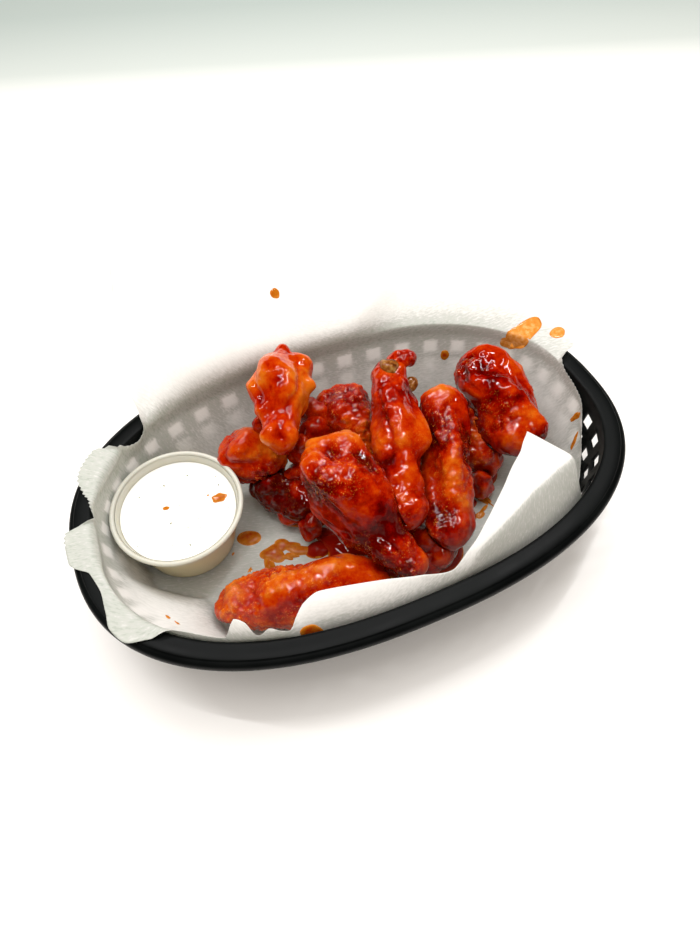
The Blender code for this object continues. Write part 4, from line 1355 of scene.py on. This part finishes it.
# On the floor: centre (mm), half sizes (mm), turn (degrees), height (mm), roughness of outline
FLOOR_SPOTS = (
    ((-56.0, 6.9), (6.0, 4.6), -20, 1.5, 0.24),
    ((-47.5, -6.5), (6.0, 5.2), -20, 1.5, 0.18),
    ((-41.0, -4.5), (6.5, 3.4), -20, 1.4, 0.20),
    ((-34.0, -10.5), (7.5, 3.0), -28, 1.3, 0.22),
    ((-27.5, -14.5), (5.5, 3.2), -20, 1.4, 0.22),
    ((-51.5, -13.5), (6.5, 2.4), 80, 1.2, 0.20),
    ((-42.0, -11.0), (5.0, 2.0), -25, 1.0, 0.25),
    ((-9.0, -22.0), (19.0, 10.5), -35, 6.0, 0.22),
    ((-22.0, -12.0), (9.5, 6.5), -40, 2.6, 0.38),
    ((10.0, -38.0), (15.0, 9.0), -25, 6.0, 0.25),
    ((27.0, -41.0), (16.0, 9.0), 25, 5.5, 0.22),
    ((20.0, 20.0), (22.0, 14.0), 40, 3.0, 0.25),
    ((-26.0, 10.0), (14.0, 9.0), -40, 5.0, 0.25),
    ((52.0, -22.0), (7.0, 4.5), 60, 3.2, 0.35),
    ((70.0, -8.0), (9.0, 7.0), 60, 3.0, 0.30),
    ((58.5, -16.5), (7.5, 1.5), -48, 0.9, 0.40),
    ((63.0, -22.0), (5.5, 1.3), -70, 0.9, 0.40),
    ((57.0, -27.5), (5.0, 1.6), 20, 0.9, 0.40),
    ((-61.0, -10.5), (1.5, 1.0), 30, 0.3, 0.20),
    ((-66.0, 1.5), (0.9, 0.7), 30, 0.25, 0.20),
)
# On a slope: angle round (degrees), way up, half sizes (mm), turn (degrees), height (mm), outline;
# a height below 0 is on the outer face
SHEET_SPOTS = (
    (90.6, 0.767, (2.5, 2.9), 0, 0.35, 0.05),
    (51.7, 0.316, (2.3, 3.1), 0, 0.45, 0.06),
    (28.6, 0.402, (12.4, 6.0), 36, 0.16, 0.05),
    (32.6, 0.342, (3.6, 3.4), 30, 0.20, 0.10),
    (18.7, 0.596, (4.2, 3.6), 45, 0.17, 0.10),
    (-8.5, 0.332, (4.2, 1.5), 35, 0.30, 0.12),
    (-15.0, 0.325, (4.8, 1.2), 55, 0.30, 0.12),
    (-150.4, 0.312, (1.5, 0.9), -40, 0.25, 0.20),
    (-146.2, 0.312, (1.4, 0.6), -30, 0.22, 0.20),
    (-112.1, 0.601, (4.6, 3.0), 8, -0.50, 0.12),
)
# On the dip: place across it (mm), half sizes (mm), turn (degrees), height (mm), outline
DIP_SPOTS = (
    ((19.5, -1.0), (3.5, 2.6), -10, 0.50, 0.10),
    ((-5.2, 3.4), (1.5, 1.1), 0, 0.30, 0.10),
    ((15.0, 2.5), (0.6, 0.5), 0, 0.20, 0.10),
)


def spot_grid(size, turn_degrees, height, rough, seed):
    """Across, along and up (metres) over a spot: rings shrinking to its middle, outline 1 + a
    sum of waves.
    """
    rng = np.random.default_rng(seed)
    ring = np.linspace(1.0, 0.08, SPOT_RINGS)[:, None]
    around = np.linspace(0, 2 * math.pi, SPOT_AROUND, endpoint=False)[None, :]
    outline = np.ones_like(around)
    for waves in (2, 3, 5):
        swing = rough * rng.normal() / math.sqrt(waves)
        outline = outline + swing * np.cos(waves * around + rng.uniform(0, 6.3))
    x, y = ring * outline * np.cos(around) * size[0] * MM, ring * outline * np.sin(around) * size[1] * MM
    turn = math.radians(turn_degrees)
    up = height * MM * np.sqrt(np.clip(1 - ring**2, 0, 1)) + 0 * around
    return x * math.cos(turn) - y * math.sin(turn), x * math.sin(turn) + y * math.cos(turn), up


def on_sheet(angle, way, x, y):
    """Angles and ways of places x metres rightward and y metres away, along the sheet, from one place."""
    small = 1e-3
    by_angle = (sheet(angle + small, way) - sheet(angle - small, way)) / (2 * small)
    by_way = (sheet(angle, way + small) - sheet(angle, way - small)) / (2 * small)
    per_angle, per_way = np.linalg.norm(by_angle), np.linalg.norm(by_way)
    normal = np.cross(by_way, by_angle)
    normal /= np.linalg.norm(normal)
    across = np.array((0.94, -0.34, 0.0))
    across -= normal * (across @ normal)
    across /= np.linalg.norm(across)
    basis = np.stack([by_angle / per_angle, by_way / per_way], -1)
    shares = np.linalg.lstsq(basis, np.stack([across, np.cross(normal, across)], -1), rcond=None)[0]
    moved = np.stack([x, y], -1) @ shares.T
    tried = np.linspace(0.2, 1.0, 240)
    curve = sheet(np.full(tried.shape, float(angle)), tried)
    length = np.concatenate([[0.0], np.cumsum(np.linalg.norm(np.diff(curve, axis=0), axis=-1))])
    reached = np.interp(way, tried, length) + moved[..., 1]
    return angle + moved[..., 0] / per_angle, np.interp(reached, length, tried)


def spot_faces(points, start):
    """Faces of one spot: its rings, a fan over its middle, and a flat underside."""
    rings, around = points.shape[:2]
    quads = grid_quads(rings, around, round_columns=True)
    inner = (rings - 1) * around + np.arange(around)
    over = np.column_stack([inner, np.roll(inner, -1), np.full(around, rings * around)])
    underside = list(range(start + around - 1, start - 1, -1))
    return (start + quads).tolist() + (start + over).tolist() + [underside]


def join_spots(grids):
    """One list of points and faces for many spots, with how deep the sauce is at each point."""
    points, faces, depth, start = [], [], [], 0
    for top, deep in grids:
        faces += spot_faces(top, start)
        points += [top.reshape(-1, 3), top[-1].mean(axis=0)[None]]
        depth += [deep.ravel(), [deep[-1].mean()]]
        start += top.shape[0] * top.shape[1] + 1
    return np.concatenate(points), faces, np.concatenate(depth)


# %% [markdown]
# Where the sauce is thin the white paper lights it from behind and it looks amber; where it is a
# few millimetres deep it is dark red. Its depth is kept as an attribute of each point and picks
# the colour, and the surface is as smooth and glossy as oil.

# %% Pooled sauce
pooled_sauce, tree, shader = new_material("pooled_red_pepper_sauce", Roughness=0.5, IOR=1.42)
shader.inputs["Specular IOR Level"].default_value = 0.0
shader.inputs["Coat Weight"].default_value = 0.5
shader.inputs["Coat Roughness"].default_value = 0.03
place = add_node(tree, "ShaderNodeTexCoord")
deep = add_node(tree, "ShaderNodeAttribute", {"attribute_name": "sauce_depth"})
pulp = add_node(tree, "ShaderNodeTexNoise", sockets={
    "Vector": place.outputs["Object"], "Scale": 1 / (2.2 * MM), "Detail": 4.0})
uneven = add_node(tree, "ShaderNodeMapRange", sockets={
    "Value": pulp.outputs["Fac"], "From Min": 0.3, "From Max": 0.7, "To Min": -0.11, "To Max": 0.11})
seen = add_node(tree, "ShaderNodeMath", {"operation": "ADD", "use_clamp": True}, {
    0: deep.outputs["Fac"], 1: uneven.outputs["Result"]})
amber = add_node(tree, "ShaderNodeValToRGB", {"stops": [
    (0.0, linear("#DDA86C")), (0.15, linear("#CC8238")), (0.35, linear("#AC6212")),
    (0.6, linear("#942C05")), (1.0, linear("#7E0D03"))]}, {"Fac": seen.outputs["Value"]})
tree.links.new(amber.outputs["Color"], shader.inputs["Base Color"])
ripple = add_node(tree, "ShaderNodeBump", sockets={
    "Strength": 0.3, "Distance": 0.3 * MM, "Height": pulp.outputs["Fac"]})
tree.links.new(ripple.outputs["Normal"], shader.inputs["Normal"])

# %% Make the sauce on the paper
grids = []
for number, (centre, size, turn, height, rough) in enumerate(FLOOR_SPOTS):
    x, y, up = spot_grid(size, turn, height, rough, 300 + number)
    top = np.stack([x + centre[0] * MM, y + centre[1] * MM, up + PAPER_FLOOR], -1)
    top[..., 2] += np.clip(up, 0, 2 * MM) * (0.15 + 0.5 * soft_noise(top, 4.5 * MM, 90) * (height > 2))
    film = 0.12 + 0.26 * up / MM if height < 2 else 0.22 + up / (1.5 * MM)
    grids.append((top, np.clip(film, 0, 1)))
for number, (degrees, way, size, turn, height, rough) in enumerate(SHEET_SPOTS):
    x, y, up = spot_grid(size, turn, height, rough, 400 + number)
    angles, ways = on_sheet(np.array(math.radians(degrees)), np.array(way), x, y)
    side, up = math.copysign(1.0, height), abs(up)
    top = sheet(angles, ways, side * (PAPER_THICKNESS / 2 + 0.06 * MM))
    facing = side * sheet_normal(angles, ways)
    film = 0.24 - 0.13 * up / (height * MM) if 0 < height < 0.2 else 0.12 + 0.9 * up / MM
    grids.append((top + facing * up[..., None], np.clip(film, 0, 1)))
points, faces, depth = join_spots(grids)
spills = add_piece("sauce_on_paper", points, faces, pooled_sauce, 60)
spills.data.attributes.new("sauce_depth", "FLOAT", "POINT").data.foreach_set("value", depth)
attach(spills, "root")
print("spots of sauce:", len(grids))

# %% Make the sauce on the dip
grids = []
for number, (centre, size, turn, height, rough) in enumerate(DIP_SPOTS):
    x, y, up = spot_grid(size, turn, height, rough, 500 + number)
    top = np.stack([x + centre[0] * MM, y + centre[1] * MM, 0 * up + dip_top], -1)
    top[..., 2] += dip_wave(top) + up
    top[..., 2] += 0.12 * MM
    grids.append((in_cup(top), np.clip(0.18 + 0.5 * up / MM, 0, 1)))
points, faces, depth = join_spots(grids)
spots = add_piece("sauce_on_dip", points, faces, pooled_sauce, 60)
spots.data.attributes.new("sauce_depth", "FLOAT", "POINT").data.foreach_set("value", depth)
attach(spots, "root")
